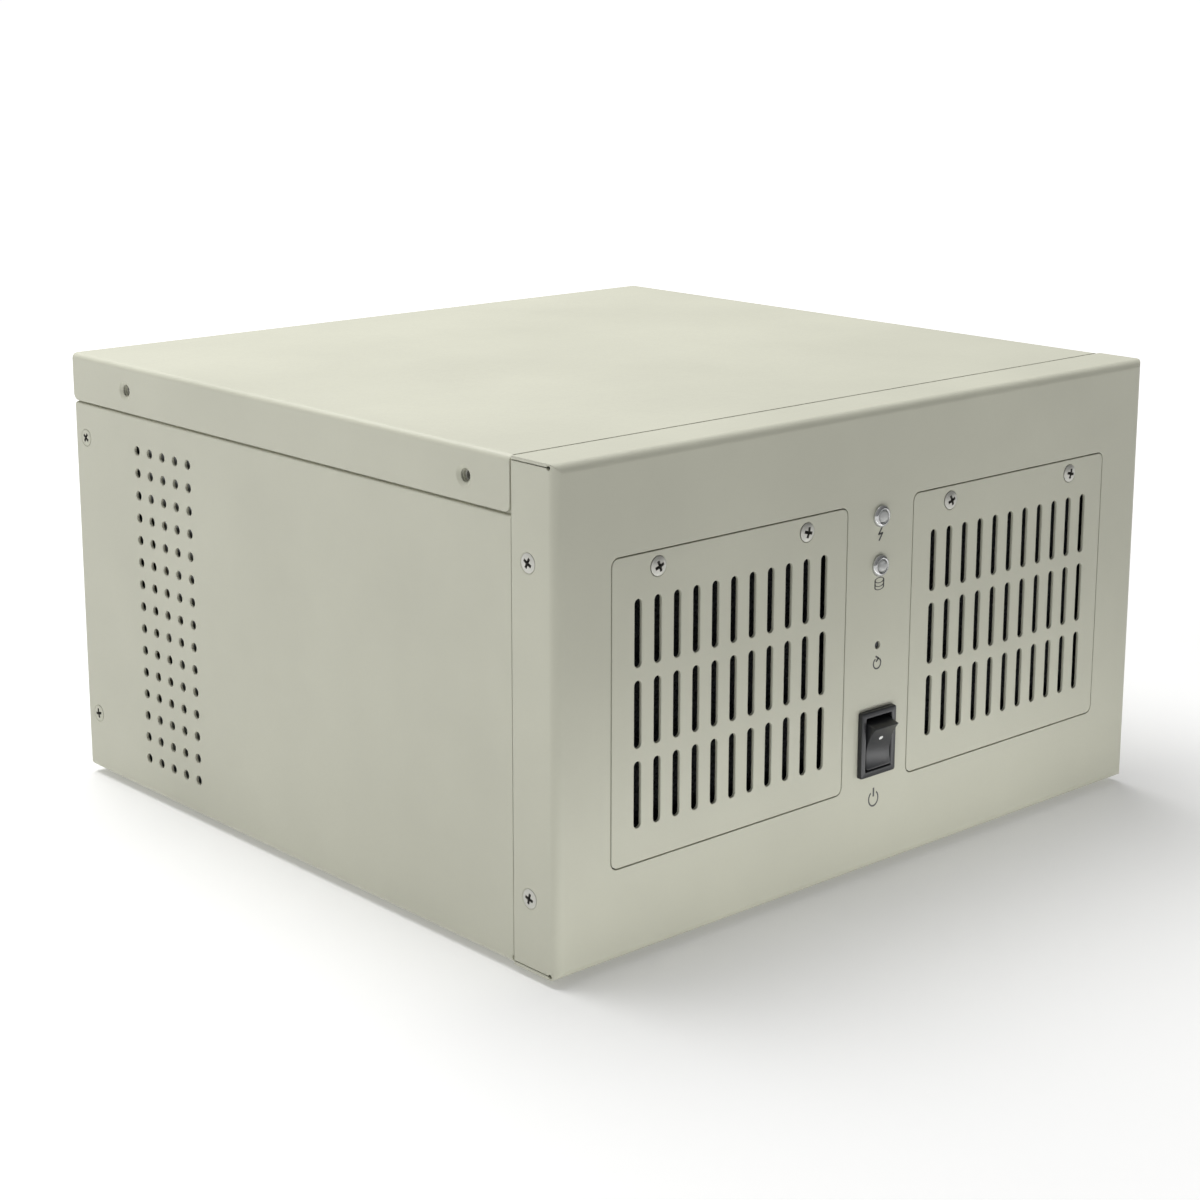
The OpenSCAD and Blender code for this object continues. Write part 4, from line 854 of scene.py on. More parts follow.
def lockNut(bm):
    # the hexagon nut that clamps a holder behind the sheet
    for sides, radius in lampSet["nut"]:
        bmesh.ops.create_circle(bm, segments=sides, radius=radius)
    ring = bmesh.ops.bridge_loops(bm, edges=bm.edges[:])["faces"]
    grown = bmesh.ops.extrude_face_region(bm, geom=ring, use_keep_orig=True)
    bmesh.ops.translate(bm, vec=(0, 0, lampSet["nutThick"]), verts=vertsOf(grown))


holderBm, lensBm, cupBm, dieBm = (bmesh.new() for _ in range(4))
for corners in solidsOf("light_lenses"):
    spot = facing((0, -1, 0), (middleOf(corners).x, bezelFace, middleOf(corners).z))
    put(holderBm, spot, spun, lampSet["holder"], 48)
    put(holderBm, spot @ shift(0, 0, -lampSet["sheet"] - lampSet["nutThick"]), lockNut)
    put(lensBm, spot, spun, lampSet["lens"], 32)
    put(cupBm, spot, spun, lampSet["cup"], 24)
    put(dieBm, spot, block, (-0.45, -0.45, -0.9), (0.45, 0.45, -0.2), 0.08)
finishPiece("lightHolders", holderBm, "chrome", ["light_holders"])
finishPiece("lightLenses", lensBm, "lens", ["light_lenses"])
finishPiece("lightCups", cupBm, "aluminium")
finishPiece("lightDies", dieBm, "socketPlastic")

markSet = {"line": 0.42, "thick": 0.06, "scale": 1.5, "drops": (7.2, 7.4, 7.6, 24.4)}


def bar(bm, start, end, width=markSet["line"]):
    # a straight printed line between two points
    start, end = Vector(start), Vector(end)
    along = end - start
    made = bmesh.ops.create_cube(bm, size=1.0)["verts"]
    bmesh.ops.scale(bm, vec=(along.length + width * 0.5, width, markSet["thick"]), verts=made)
    tilt = Matrix.Rotation(math.atan2(along.y, along.x), 3, "Z")
    bmesh.ops.rotate(bm, cent=(0, 0, 0), matrix=tilt, verts=made)
    bmesh.ops.translate(bm, vec=(*((start + end) / 2), markSet["thick"] / 2), verts=made)


def arc(bm, radius, start, sweep, flat=1.0, rise=0.0):
    # part of a printed ring, squashed to a flat one where it shows a disc's edge
    half, thick = markSet["line"] / 2, markSet["thick"]
    before = set(bm.verts)
    outline = ((-half, 0), (half, 0), (half, thick), (-half, thick))
    corner = [bm.verts.new((radius + x, 0, z)) for x, z in outline]
    section = bm.faces.new(corner)
    bmesh.ops.spin(bm, geom=corner + section.edges[:] + [section], cent=(0, 0, 0), axis=(0, 0, 1),
                   dvec=(0, 0, 0), angle=math.radians(sweep), steps=max(6, int(abs(sweep) / 10)),
                   use_merge=abs(sweep) == 360)
    made = [vert for vert in bm.verts if vert not in before]
    bmesh.ops.rotate(bm, cent=(0, 0, 0), matrix=Matrix.Rotation(math.radians(start), 3, "Z"), verts=made)
    bmesh.ops.scale(bm, vec=(1, flat, 1), verts=made)
    bmesh.ops.translate(bm, vec=(0, rise, 0), verts=made)


def boltMark(bm):
    points = ((0.5, 1.7), (-0.75, -0.05), (0.7, 0.15), (-0.5, -1.7))
    for start, end in zip(points, points[1:]):
        bar(bm, start, end, 0.5)


def diskMark(bm):
    for start, sweep, rise in ((0, 360, 0.95), (180, 180, -0.05), (180, 180, -0.95)):
        arc(bm, 1.7, start, sweep, 0.42, rise)
    for x in (-1.7, 1.7):
        bar(bm, (x, 0.95), (x, -0.95))


def turnMark(bm):
    arc(bm, 1.45, 120, 290)
    bar(bm, (0.55, 1.3), (-0.55, 2.0), 0.5)
    bar(bm, (0.6, 1.35), (-0.35, 0.6), 0.5)


def powerMark(bm):
    arc(bm, 1.85, 125, 290, 1.12)
    bar(bm, (0, 2.9), (0, 0.7), 0.6)


bm = bmesh.new()
lamps = sorted(middleOf(corners).z for corners in solidsOf("light_lenses"))
marked = (lamps[1], lamps[0], middleOf(boxOf("reset_button")).z, middleOf(boxOf("rocker_housing")).z)
enlarge = Matrix.Diagonal((markSet["scale"], markSet["scale"], 1, 1))
for build, height, drop in zip((boltMark, diskMark, turnMark, powerMark), marked, markSet["drops"]):
    put(bm, facing((0, -1, 0), (0, bezelFace, height - drop)) @ enlarge, build)
finishPiece("frontMarks", bm, "markGrey")
print("stage: lights and marks")


# rocker switches

rockerSet = {"edge": 0.4, "arcSteps": 22, "tilt": math.radians(12), "dot": (2.2, 1.5, 0.7), "dotUp": 0.34}
paddleSizes = {  # width, back, half its height, front, half its height, hollow, pin
    "rocker_paddle": (14.2, 3, 10, 6.6, 9.2, 2.4, 1.2),
    "psu_switch_paddle": (9.4, 2.2, 6.8, 5, 6.4, 1.4, 0.9),
}


def paddle(bm, width, back, backHalf, front, frontHalf, hollow, pin):
    # its side outline, with the face hollowed by an arc, pulled out to its width
    radius = (frontHalf ** 2 + hollow ** 2) / (2 * hollow)
    middle = -front + hollow - radius
    start = bm.verts.new((-width / 2, -front, -frontHalf))
    bmesh.ops.spin(bm, geom=[start], cent=(-width / 2, middle, 0), axis=(1, 0, 0), dvec=(0, 0, 0),
                   angle=2 * math.asin(frontHalf / radius), steps=rockerSet["arcSteps"])
    ends = [vert for vert in bm.verts if len(vert.link_edges) == 1]
    low, high = sorted(ends, key=lambda vert: vert.co.z)
    corners = [bm.verts.new((-width / 2, back, z)) for z in (backHalf, -backHalf)]
    for pair in ((high, corners[0]), corners, (corners[1], low)):
        bm.edges.new(pair)
    side = bmesh.ops.edgeloop_fill(bm, edges=bm.edges[:])["faces"]
    grown = bmesh.ops.extrude_face_region(bm, geom=side, use_keep_orig=True)
    bmesh.ops.translate(bm, vec=(width, 0, 0), verts=vertsOf(grown))
    bmesh.ops.recalc_face_normals(bm, faces=bm.faces[:])
    sharp = [edge for edge in bm.edges if len(edge.link_faces) == 2 and edge.calc_face_angle() > 0.6]
    soften(bm, sharp, rockerSet["edge"], 3)
    made = rod(bm, pin, -width / 2 - 1.4, width / 2 + 1.4, 16)
    bmesh.ops.rotate(bm, cent=(0, 0, 0), matrix=Matrix.Rotation(math.pi / 2, 3, "Y"), verts=made)


def rockerSpot(body, turn):
    anchor = next(joint for joint in record["behaviour"]["joints"] if joint["child"] == body)["pos_m"]
    return Matrix.Translation(Vector(anchor) / mm) @ turned(turn, "Z") @ turned(rockerSet["tilt"], "X")


for node, body, turn, scale in (("rocker_paddle", "power_rocker", 0.0, 1.0),
                                ("psu_switch_paddle", "psu_switch", math.pi, 0.6)):
    spot = rockerSpot(body, turn)
    bm = bmesh.new()
    put(bm, spot, paddle, *paddleSizes[node])
    finishPiece(body + "Paddle", bm, "switchPlastic", [node], body, 30)
    front, frontHalf, hollow = paddleSizes[node][3:6]
    radius = (frontHalf ** 2 + hollow ** 2) / (2 * hollow)
    height = frontHalf * rockerSet["dotUp"]
    depth = -front + hollow - radius + math.sqrt(radius ** 2 - height ** 2)
    spot = spot @ shift(0, depth, height) @ turned(math.asin(height / radius), "X")
    bm = bmesh.new()
    put(bm, spot @ facing((0, -1, 0), (0, 0, 0)) @ Matrix.Scale(scale, 4), loft,
        [(*rockerSet["dot"], -0.4), (*rockerSet["dot"], 0.03)])
    finishPiece(body + "Dot", bm, "markWhite", body=body)


def rockerFrame(bm, outer, window, flange, depth, lift):
    # a flange with rounded front edges, and the well the paddle tilts in
    w, h = outer
    a, b = window
    loft(bm, [(w - 2.1, h - 2.1, 0.6, -depth), (w - 2.1, h - 2.1, 0.6, 0), (w, h, 1.0, 0),
              (w, h, 1.0, flange - 0.5), (w - 0.25, h - 0.25, 1.0, flange - 0.15),
              (w - 0.8, h - 0.8, 0.8, flange), (a + 0.9, b + 0.9, 0.5, flange),
              (a + 0.2, b + 0.2, 0.35, flange - 0.3), (a, b, 0.3, flange - 0.7), (a, b, 0.3, -lift),
              (a - 1, b - 1, 0.3, -lift - 0.1), (a - 1, b - 1, 0.3, -depth)], False)
    block(bm, (-w / 2 + 1.3, -h / 2 + 1.3, -depth), (w / 2 - 1.3, h / 2 - 1.3, -depth + 1.2))


frames = {  # outer size, window, flange, depth, depth of the well, way it faces, name
    "rocker_housing": ((20.5, 27.5), (14.8, 22.0), 2.2, 13.2, 6.2, (0, -1, 0), "powerRockerFrame"),
    "psu_switch_housing": ((15.0, 21.0), (10.0, 15.6), 1.8, 12.4, 5.4, (0, 1, 0), "supplySwitchFrame"),
}
for node, (outer, window, flange, depth, lift, way, name) in frames.items():
    corners = boxOf(node)
    middle = middleOf(corners)
    sheetFace = corners[0].y + flange if way[1] < 0 else corners[1].y - flange
    bm = bmesh.new()
    put(bm, facing(way, (middle.x, sheetFace, middle.z)), rockerFrame, outer, window, flange, depth, lift)
    finishPiece(name, bm, "switchPlastic", [node], angle=30)
print("stage: rockers")


# foam filters

foamSet = {"cuts": 26, "crown": 0.55, "ripple": 0.16, "soft": 1.2}


def foamPad(bm, low, high, s=foamSet):
    # fills its tray, with a crowned front and soft rims
    block(bm, low, high, s["soft"], 3)
    long = [edge for edge in bm.edges if edge.calc_length() > 20]
    bmesh.ops.subdivide_edges(bm, edges=long, cuts=s["cuts"], use_grid_fill=True)
    middle, half = (low + high) / 2, (high - low) / 2
    uneven = random.Random(11)
    for vert in bm.verts:
        if vert.co.y > middle.y:
            continue
        across = (1 - ((vert.co.x - middle.x) / half.x) ** 4) * (1 - ((vert.co.z - middle.z) / half.z) ** 4)
        vert.co.y -= across * (s["crown"] + uneven.uniform(-s["ripple"], s["ripple"]))


for side in ("left", "right"):
    low, high = boxOf(side + "_filter")
    bm = bmesh.new()
    foamPad(bm, low + Vector((0.2, 0.8, 0.2)), high - Vector((0.2, 0.1, 0.2)))
    pad = finishPiece(side + "Foam", bm, "foam", [side + "_filter"], angle=80)
print("stage: foam filters")


# fans

fanSet = {"blades": 7, "thick": 1.1, "low": 1.2, "top": 4.0, "lean": 34, "sweep": 20, "camber": 0.22}


def fanBlade(bm, hub, tip, low, high, s=fanSet):
    # a twisted sheet between the hub and the tip, thickened
    bmesh.ops.create_grid(bm, x_segments=10, y_segments=8, size=1.0)
    for vert in bm.verts:
        along, chord = (vert.co.x + 1) / 2, vert.co.y
        radius = hub - 0.6 + (tip - hub + 0.6) * along
        turn = math.radians(chord * s["lean"] * (0.62 + 0.12 * along) + s["sweep"] * along ** 1.6)
        bow = s["camber"] * (1 - chord ** 2)
        height = (low + high) / 2 + (high - low - 2) / 2 * (chord + bow - 0.1)
        vert.co = (radius * math.cos(turn), radius * math.sin(turn), height)
    bmesh.ops.recalc_face_normals(bm, faces=bm.faces[:])
    bmesh.ops.solidify(bm, geom=bm.faces[:], thickness=s["thick"])


def fanRotor(bm, size, depth, s=fanSet):
    hub, tip = size * 0.17, size / 2 - 2.4 - 0.9
    low, high = s["low"], depth - s["top"]
    spun(bm, [(0, low + 0.5), (hub * 0.55, low + 0.5), (hub * 0.58, low), (hub - 1.6, low),
              (hub - 0.5, low + 0.4), (hub, low + 1.4), (hub, high - 0.4), (hub - 0.4, high), (1.5, high),
              (1.5, high + 2.5), (0, high + 2.5)], 48)
    blade = drawn(fanBlade, hub, tip, low, high)
    for k in range(s["blades"]):
        stamp(bm, blade, turned(2 * math.pi * k / s["blades"], "Z"))


fans = {  # frame, way it faces, frame size, turn at rest
    "left_fan": ("left_fan_frame", (0, 1, 0), 92, 0), "right_fan": ("right_fan_frame", (0, 1, 0), 92, 30),
    "cpu_fan": ("cpu_fan_frame", (0, 0, -1), 80, 10), "psu_fan": ("psu_fan_frame", (0, 1, 0), 78, 5),
}
for body, (frameNode, way, size, turn) in fans.items():
    low, high = boxOf(frameNode)
    middle = (low + high) / 2
    start = Vector((middle.x, low.y, middle.z)) if way[1] else Vector((middle.x, middle.y, high.z))
    bm, discBm = bmesh.new(), bmesh.new()
    put(bm, facing(way, start, turn), fanRotor, size, 25)
    finishPiece(body + "Rotor", bm, "fanPlastic", [body + "_rotor"], body, 40)
    put(discBm, facing(way, start, turn) @ shift(0, 0, -0.35), spun,
        [(0, 1.75), (6.2, 1.75), (6.3, 1.85), (6.2, 1.95), (0, 1.95)], 36)
    finishPiece(body + "HubDisc", discBm, "aluminium", body=body)

guardSet = {"rings": 5, "wire": 0.7}


def fanGuard(bm, reach, s=guardSet):
    around = [k * math.pi / 4 for k in range(9)]
    section = [(math.cos(a) * s["wire"], math.sin(a) * s["wire"]) for a in around]
    for k in range(1, s["rings"] + 1):
        radius = k * reach / s["rings"] - s["wire"]
        put(bm, Matrix(), spun, [(radius + x, s["wire"] + z) for x, z in section], 56)
    for turn in (45, 135):
        put(bm, turned(math.radians(turn), "Z") @ shift(0, 0, s["wire"]) @ turned(math.pi / 2, "Y"),
            rod, s["wire"], -reach, reach, 10)


low, high = boxOf("psu_fan_guard")
middle = (low + high) / 2
bm = bmesh.new()
put(bm, facing((0, 1, 0), (middle.x, low.y, middle.z)), fanGuard, (high.x - low.x) / 2)
finishPiece("fanGuardWires", bm, "chrome", ["psu_fan_guard"], angle=60)
print("stage: fans")


# mains inlet

inletSet = {"pins": ((-7, 0.6), (0, -3.4), (7, 0.6)), "tall": 4.2, "thick": 1.9, "sunk": (15, 3.4),
            "screwOut": 20.0}
low, high = boxOf("mains_inlet")
face, middle = high.y, (low + high) / 2
pinBm, screwBm = bmesh.new(), bmesh.new()
pinHalf = Vector((inletSet["thick"] / 2, 0, inletSet["tall"] / 2))
for x, z in inletSet["pins"]:
    deep, tip = (Vector((middle.x + x, face - sunk, middle.z + z)) for sunk in inletSet["sunk"])
    block(pinBm, deep - pinHalf, tip + pinHalf, 0.4)
inletHead = drawn(crossHead, 2.9, 1.4, 0.5, 1.2, 3)
for x in (-inletSet["screwOut"], inletSet["screwOut"]):
    stamp(screwBm, inletHead, facing((0, 1, 0), (middle.x + x, face + 0.05, middle.z), turns.uniform(0, 90)))
finishPiece("inletPins", pinBm, "nickel")
finishPiece("inletScrews", screwBm, steel)


# rear ports, told apart by the width and height of their shells

portSet = {"recess": 3.9, "serialWide": 31, "serialTall": 13, "pinPitch": 2.77, "pinRow": 1.42,
           "flatUp": 3.9, "flatPitch": 2.5, "netPitch": 1.02}
portBlack, portSteel, portGold, portWhite = (bmesh.new() for _ in range(4))
jackBms = [bmesh.new() for _ in range(3)]


def serialPort(spot, s=portSet):
    # a D-shaped shell with two rows of pins between two hexagon posts
    put(portSteel, spot @ shift(0, 0, 0.4), loft,
        [(18.6, 9.4, 2.4, -0.1), (18.6, 9.4, 2.4, 3.4), (17.6, 8.4, 2.0, 3.4), (17.6, 8.4, 2.0, -0.1)], False)
    put(portBlack, spot, loft, [(17.2, 8.0, 1.9, 0), (17.2, 8.0, 1.9, 1.4)])
    for count, y in ((5, s["pinRow"]), (4, -s["pinRow"])):
        for k in range(count):
            put(portGold, spot @ shift((k - (count - 1) / 2) * s["pinPitch"], y, 0), rod, 0.5, 1.2, 3.4, 8)
    for x in (-12.5, 12.5):
        put(portSteel, spot @ shift(x, 0, 0), rod, 2.7, 0, 4.6, 6)
        put(portBlack, spot @ shift(x, 0, 0), rod, 1.4, 4.6, 4.66, 12)


def keyboardPort(spot):
    put(portBlack, spot, spun, [(0, 0), (0, 1.2), (4.3, 1.2), (4.5, 1.0), (4.6, 0.4), (4.6, 0), (0, 0)], 32)
    put(portSteel, spot, spun, [(5.3, 0), (5.3, 3.4), (5.9, 3.4), (5.9, 0), (5.3, 0)], 36)
    for k in range(6):
        around = turned(math.radians(30 + 60 * k), "Z")
        put(portGold, spot @ around @ shift(2.8, 0, 0), rod, 0.55, 1.2, 1.26, 8)


def flatPorts(spot, s=portSet):
    # two over each other
    for y in (-s["flatUp"], s["flatUp"]):
        level = spot @ shift(0, y, 0)
        put(portSteel, level, loft,
            [(12.9, 5.3, 0.7, 0), (12.9, 5.3, 0.7, 3.8), (12.2, 4.6, 0.4, 3.8), (12.2, 4.6, 0.4, 0)], False)
        put(portWhite, level, block, (-5.4, -0.4, 0), (5.4, 1.4, 3.2), 0.2)
        for k in range(4):
            place = level @ shift(s["flatPitch"] * k, 0, 0)
            put(portGold, place, block, (-4.1, -0.5, 0.2), (-3.1, -0.35, 3.1))


def networkPort(spot, tall, s=portSet):
    # also the flat sockets of its width
    top = tall / 2
    put(portBlack, spot, block, (-7, 1.4 - top, 0), (7, top - 1.4, 0.3))
    put(portBlack, spot, loft, [(14.4, tall - 2.4, 0.6, 0), (14.4, tall - 2.4, 0.6, 3.7),
                                (11.8, tall - 5.4, 0.5, 3.7), (11.8, tall - 5.4, 0.5, 0.1)], False)
    for k in range(8):
        place = spot @ shift(s["netPitch"] * k, 0, 0)
        put(portGold, place, block, (-3.8, top - 4.4, 0), (-3.4, top - 3.2, 3.0))
    for x in (-6.3, 6.3):
        put(portWhite, spot @ shift(x, 0, 0), block, (-0.8, 1.1 - top, 3.4), (0.8, 2.3 - top, 3.85), 0.15)


portFace = boxOf("io_ports")[1].y
jackRing = drawn(spun, [(1.8, 0), (1.8, 3.6), (3.0, 4.1), (4.1, 3.6), (4.4, 2.6), (4.4, 0), (1.8, 0)], 28)
jacks = 0
portBoxes = []
for low, high in solidsOf("io_ports"):
    if high.x - low.x > 40:  # a serial port and the flat sockets that touch it
        split = high.x - portSet["serialWide"]
        top = low.z + portSet["serialTall"]
        portBoxes.append((Vector((split, low.y, low.z + 1)), Vector((high.x, high.y, top))))
        high = Vector((split, high.y, high.z))
    portBoxes.append((low, high))
for low, high in portBoxes:
    middle = (low + high) / 2
    wide, tall = (high - low).xz
    spot = facing((0, 1, 0), (middle.x, portFace, middle.z)) @ shift(0, 0, -portSet["recess"])
    if wide > 25:
        serialPort(spot)
    elif wide < 13.5 and tall < 13.5 and abs(wide - tall) < 1:  # a round audio jack
        stamp(jackBms[jacks % 3], jackRing, spot)
        jacks += 1
    elif wide < 15 and tall < 14:
        keyboardPort(spot)
    elif wide < 15:
        flatPorts(spot)
    else:
        networkPort(spot, tall)
finishPiece("portInserts", portBlack, "socketPlastic")
finishPiece("portShells", portSteel, "nickel")
finishPiece("portContacts", portGold, "gold")
finishPiece("portTongues", portWhite, "whitePlastic")
for jackBm, look in zip(jackBms, ("jackGreen", "jackBlue", "jackPink")):
    finishPiece("jack" + look[4:], jackBm, look)
print("stage: rear ports")


# feet

def foot(bm, radius, tall):
    # a tapered rubber foot, its screw sunk in the middle
    well, rim = radius / 3, radius - 0.1
    spun(bm, [(0, tall / 2), (well - 0.3, tall / 2), (well, tall / 2 - 0.2), (well, 0.4), (well + 0.4, 0),
              (rim - 1.6, 0), (rim - 1.0, 0.35), (rim, tall - 0.3), (rim, tall), (0, tall)], 40)


feetBm, footScrews = bmesh.new(), bmesh.new()
footHead = drawn(crossHead, 2.6, 1.4, 0.6, 0.4, 0.6)
for corners in solidsOf("feet"):
    middle = middleOf(corners)
    wide, tall = (corners[1] - corners[0]).xz
    put(feetBm, shift(middle.x, middle.y, 0), foot, wide / 2, tall)
    spot = (middle.x, middle.y, tall / 2 - 0.02)
    stamp(footScrews, footHead, facing((0, 0, -1), spot, turns.uniform(0, 90)))
finishPiece("rubberFeet", feetBm, "rubber", ["feet"])
finishPiece("footScrews", footScrews, steel)
print("stage: feet")


# motherboard and what stands on it

boardSet = {
    "seed": 21, "tries": 60, "grid": 0.5, "gap": 0.8, "edge": 3, "rearEdge": 20,
    "chips": 46, "bigChips": 3, "bigChip": (24, 24, 2.2),
    "chipSizes": ((14, 14, 1.6), (10, 7.5, 1.7), (7, 5, 1.6), (5, 4, 1.5), (18, 9, 1.8), (5, 4, 1.5)),
    "coils": 5, "passives": 420,
}
boardLow, boardHigh = boxOf("motherboard")
boardTop = boardHigh.z
taken = []
for node in ("cpu_heatsink", "chipset_heatsink", "memory_sockets", "card_sockets", "board_connectors",
             "board_capacitors", "board_screws", "io_ports", "cpu_fan_frame"):
    taken += [(low.x, low.y, high.x, high.y) for low, high in solidsOf(node) if low.z < boardTop + 12]
scatter = random.Random(boardSet["seed"])


def freeSpot(wide, deep, s=boardSet):
    # a place on the board that nothing else stands on
    grid, gap = s["grid"], s["gap"]
    for _ in range(s["tries"]):
        x = round(scatter.uniform(boardLow.x + s["edge"], boardHigh.x - s["edge"] - wide) / grid) * grid
        y = round(scatter.uniform(boardLow.y + s["edge"], boardHigh.y - s["rearEdge"] - deep) / grid) * grid
        if all(x + wide + gap < a or x - gap > c or y + deep + gap < b or y - gap > d for a, b, c, d in taken):
            taken.append((x, y, x + wide, y + deep))
            return x, y
    return None


def chip(bm, wide, deep, tall):
    block(bm, (0, 0, 0.2), (wide, deep, tall), min(0.25, tall / 5), 1)
    made = bmesh.ops.create_circle(bm, cap_ends=True, segments=10, radius=0.45)["verts"]
    bmesh.ops.translate(bm, vec=(1.3, deep - 1.3, tall + 0.01), verts=made)


def legs(bm, wide, deep, step):
    count = max(2, int((wide - 1.2) / step))
    for k in range(count):
        x = (wide - (count - 1) * step) / 2 + k * step
        for low, high in ((-1.0, 0.1), (deep - 0.1, deep + 1.0)):
            block(bm, (x - 0.17, low, 0), (x + 0.17, high, 0.16))


chipBm, legBm, tanBm, darkBm, coilBm, endBm = (bmesh.new() for _ in range(6))
for k in range(boardSet["chips"]):
    wide, deep, tall = scatter.choice(boardSet["chipSizes"])
    if k < boardSet["bigChips"]:
        wide, deep, tall = boardSet["bigChip"]
    spot = freeSpot(wide + 2, deep + 2)
    if spot:
        place = shift(spot[0] + 1, spot[1] + 1, boardTop)
        put(chipBm, place, chip, wide, deep, tall)
        put(legBm, place, legs, wide, deep, 1.27 if wide < 20 else 1.0)
for k in range(boardSet["coils"]):
    spot = freeSpot(11, 11)
    if spot:
        put(coilBm, shift(spot[0] + 5.5, spot[1] + 5.5, boardTop), loft,
            [(9.6, 9.6, 1.2, 0), (9.6, 9.6, 1.2, 5.2), (8.6, 8.6, 1.2, 5.8)])
solderEnd = drawn(block, (0, 0, 0), (0.35, 0.9, 0.55))
for k in range(boardSet["passives"]):
    spot = freeSpot(2.2, 1.3)
    if spot:
        place = shift(*spot, boardTop)
        if k % 2:
            place = place @ shift(1.2, 0, 0) @ turned(math.pi / 2, "Z")
        put(tanBm if k % 3 else darkBm, place, block, (0.35, 0, 0), (1.55, 0.9, 0.6))
        stamp(endBm, solderEnd, place)
        stamp(endBm, solderEnd, place @ shift(1.55, 0, 0))
for name, bm, look in (("boardChips", chipBm, "chipPlastic"), ("boardLegs", legBm, "nickel"),
                       ("boardCeramics", tanBm, "ceramic"), ("boardResistors", darkBm, "chipPlastic"),
                       ("boardSolderEnds", endBm, "nickel"), ("boardCoils", coilBm, "greyJacket")):
    finishPiece(name, bm, look)

canBm, topBm = bmesh.new(), bmesh.new()
for low, high in solidsOf("board_capacitors"):
    middle, radius, tall = (low + high) / 2, (high.x - low.x) / 2, high.z - low.z
    place, top = shift(middle.x, middle.y, low.z), radius - 0.95
    put(canBm, place, spun,
        [(0, 0), (radius - 0.3, 0), (radius, 0.4), (radius, 1.2), (radius - 0.3, 1.6), (radius, 2.0),
         (radius, tall - 0.5), (radius - 0.4, tall - 0.1), (radius - 0.9, tall - 0.1), (0, tall - 0.3)], 24)
    put(topBm, place, spun, [(0, tall - 0.35), (top, tall - 0.35), (top, tall - 0.08), (0, tall - 0.02)], 24)
    for turn in (20, 110):  # the cross scored in its top
        put(canBm, place @ turned(math.radians(turn), "Z"), block,
            (-radius * 0.6, -0.12, tall - 0.03), (radius * 0.6, 0.12, tall + 0.03))
finishPiece("capacitorSleeves", canBm, "capSleeve", ["board_capacitors"])
finishPiece("capacitorTops", topBm, "aluminium")

memorySet = {"thick": 0.65, "key": 0.47, "keyWide": 1.6, "foot": 3, "chips": 8, "chipPitch": 15.6,
             "contacts": 60}


def memoryCard(bm, wide, tall, s=memorySet):
    # a thin board with its key notch
    half, key, edge = s["thick"], wide * s["key"], s["foot"]
    block(bm, (0, -half, 0), (key, half, edge))
    block(bm, (key + s["keyWide"], -half, 0), (wide, half, edge))
    block(bm, (0, -half, edge), (wide, half, tall), 0.3, 1)


cardBm, cardChips, cardGold = (bmesh.new() for _ in range(3))
for low, high in solidsOf("memory_modules"):
    wide, tall = (high - low).xz
    place = shift(low.x, high.y - 0.7, low.z)
    put(cardBm, place, memoryCard, wide, tall)
    for k in range(memorySet["chips"]):
        spot = place @ shift(memorySet["chipPitch"] * k, 0, 0)
        put(cardChips, spot, block, (6, -1.75, 12), (17, -0.6, 24), 0.2, 1)
    for k in range(memorySet["contacts"]):
        x = 2 + k * (wide - 4) / (memorySet["contacts"] - 1)
        if abs(x - wide * memorySet["key"] - memorySet["keyWide"] / 2) > 2:
            put(cardGold, place @ shift(x, 0, 0), block, (-0.45, -0.7, 0.3), (0.45, 0.7, 3.1))
finishPiece("memoryCards", cardBm, "circuitBoard", ["memory_modules"])
finishPiece("memoryChips", cardChips, "chipPlastic")
finishPiece("memoryContacts", cardGold, "gold")

latchBm = bmesh.new()
latch = drawn(loft, [(4.6, 5.4, 0.8, 0), (4.6, 5.4, 0.8, 10.5), (3.2, 5.0, 0.7, 12.5)])
for low, high in solidsOf("memory_sockets"):
    for x, way in ((low.x, -1), (high.x, 1)):
        spot = shift(x - way * 1.4, (low.y + high.y) / 2, low.z + 0.4)
        stamp(latchBm, latch, spot @ turned(way * 0.12, "Y"))
finishPiece("memoryLatches", latchBm, "whitePlastic")
print("stage: motherboard pieces")


# cables inside the case, in millimetres along their routes

cableSet = {
    "power_harness": {
        "route": [(-115.5, 24.6, 43.2), (-115.5, 15.6, 43.2), (-115.5, 4.6, 41.2), (-113.5, -21.4, 27),
                  (-105.5, -78.9, 15), (-83.5, -98.9, 12), (-17.7, -100.9, 12), (86.3, -100.9, 17),
                  (112.3, -96.9, 37), (126.3, -77.9, 47), (126.3, -77.9, 25.6)],
        "wires": 14, "spread": 3.0, "wire": 0.75, "twist": 5.0,
        "looks": ("blackJacket", "yellowJacket", "redJacket", "orangeJacket")},
    "data_cable": {
        "route": [(-149.8, 3.6, 51), (-149.8, 9.3, 51), (-139.8, 12.3, 57), (-123.8, 7.8, 61),
                  (-103.8, -25.2, 61), (-53.7, -52.9, 49), (-39.7, -70.9, 37), (-39.7, -72.9, 21.6)],
        "wires": 4, "spread": 0, "wire": 0.8, "twist": 0.0, "looks": ("redJacket",)},
    "front_panel_lead": {
        "route": [(0, -151.3, 117.3), (0, -138.2, 113.3), (2, -128.2, 77.3), (28.3, -102.9, 33),
                  (28.3, -84.9, 37), (28.3, -78.9, 31), (28.3, -78.9, 21.6)],
        "wires": 5, "spread": 1.25, "wire": 0.55, "twist": 7.0,
        "looks": ("blackJacket", "redJacket", "greyJacket")},
}


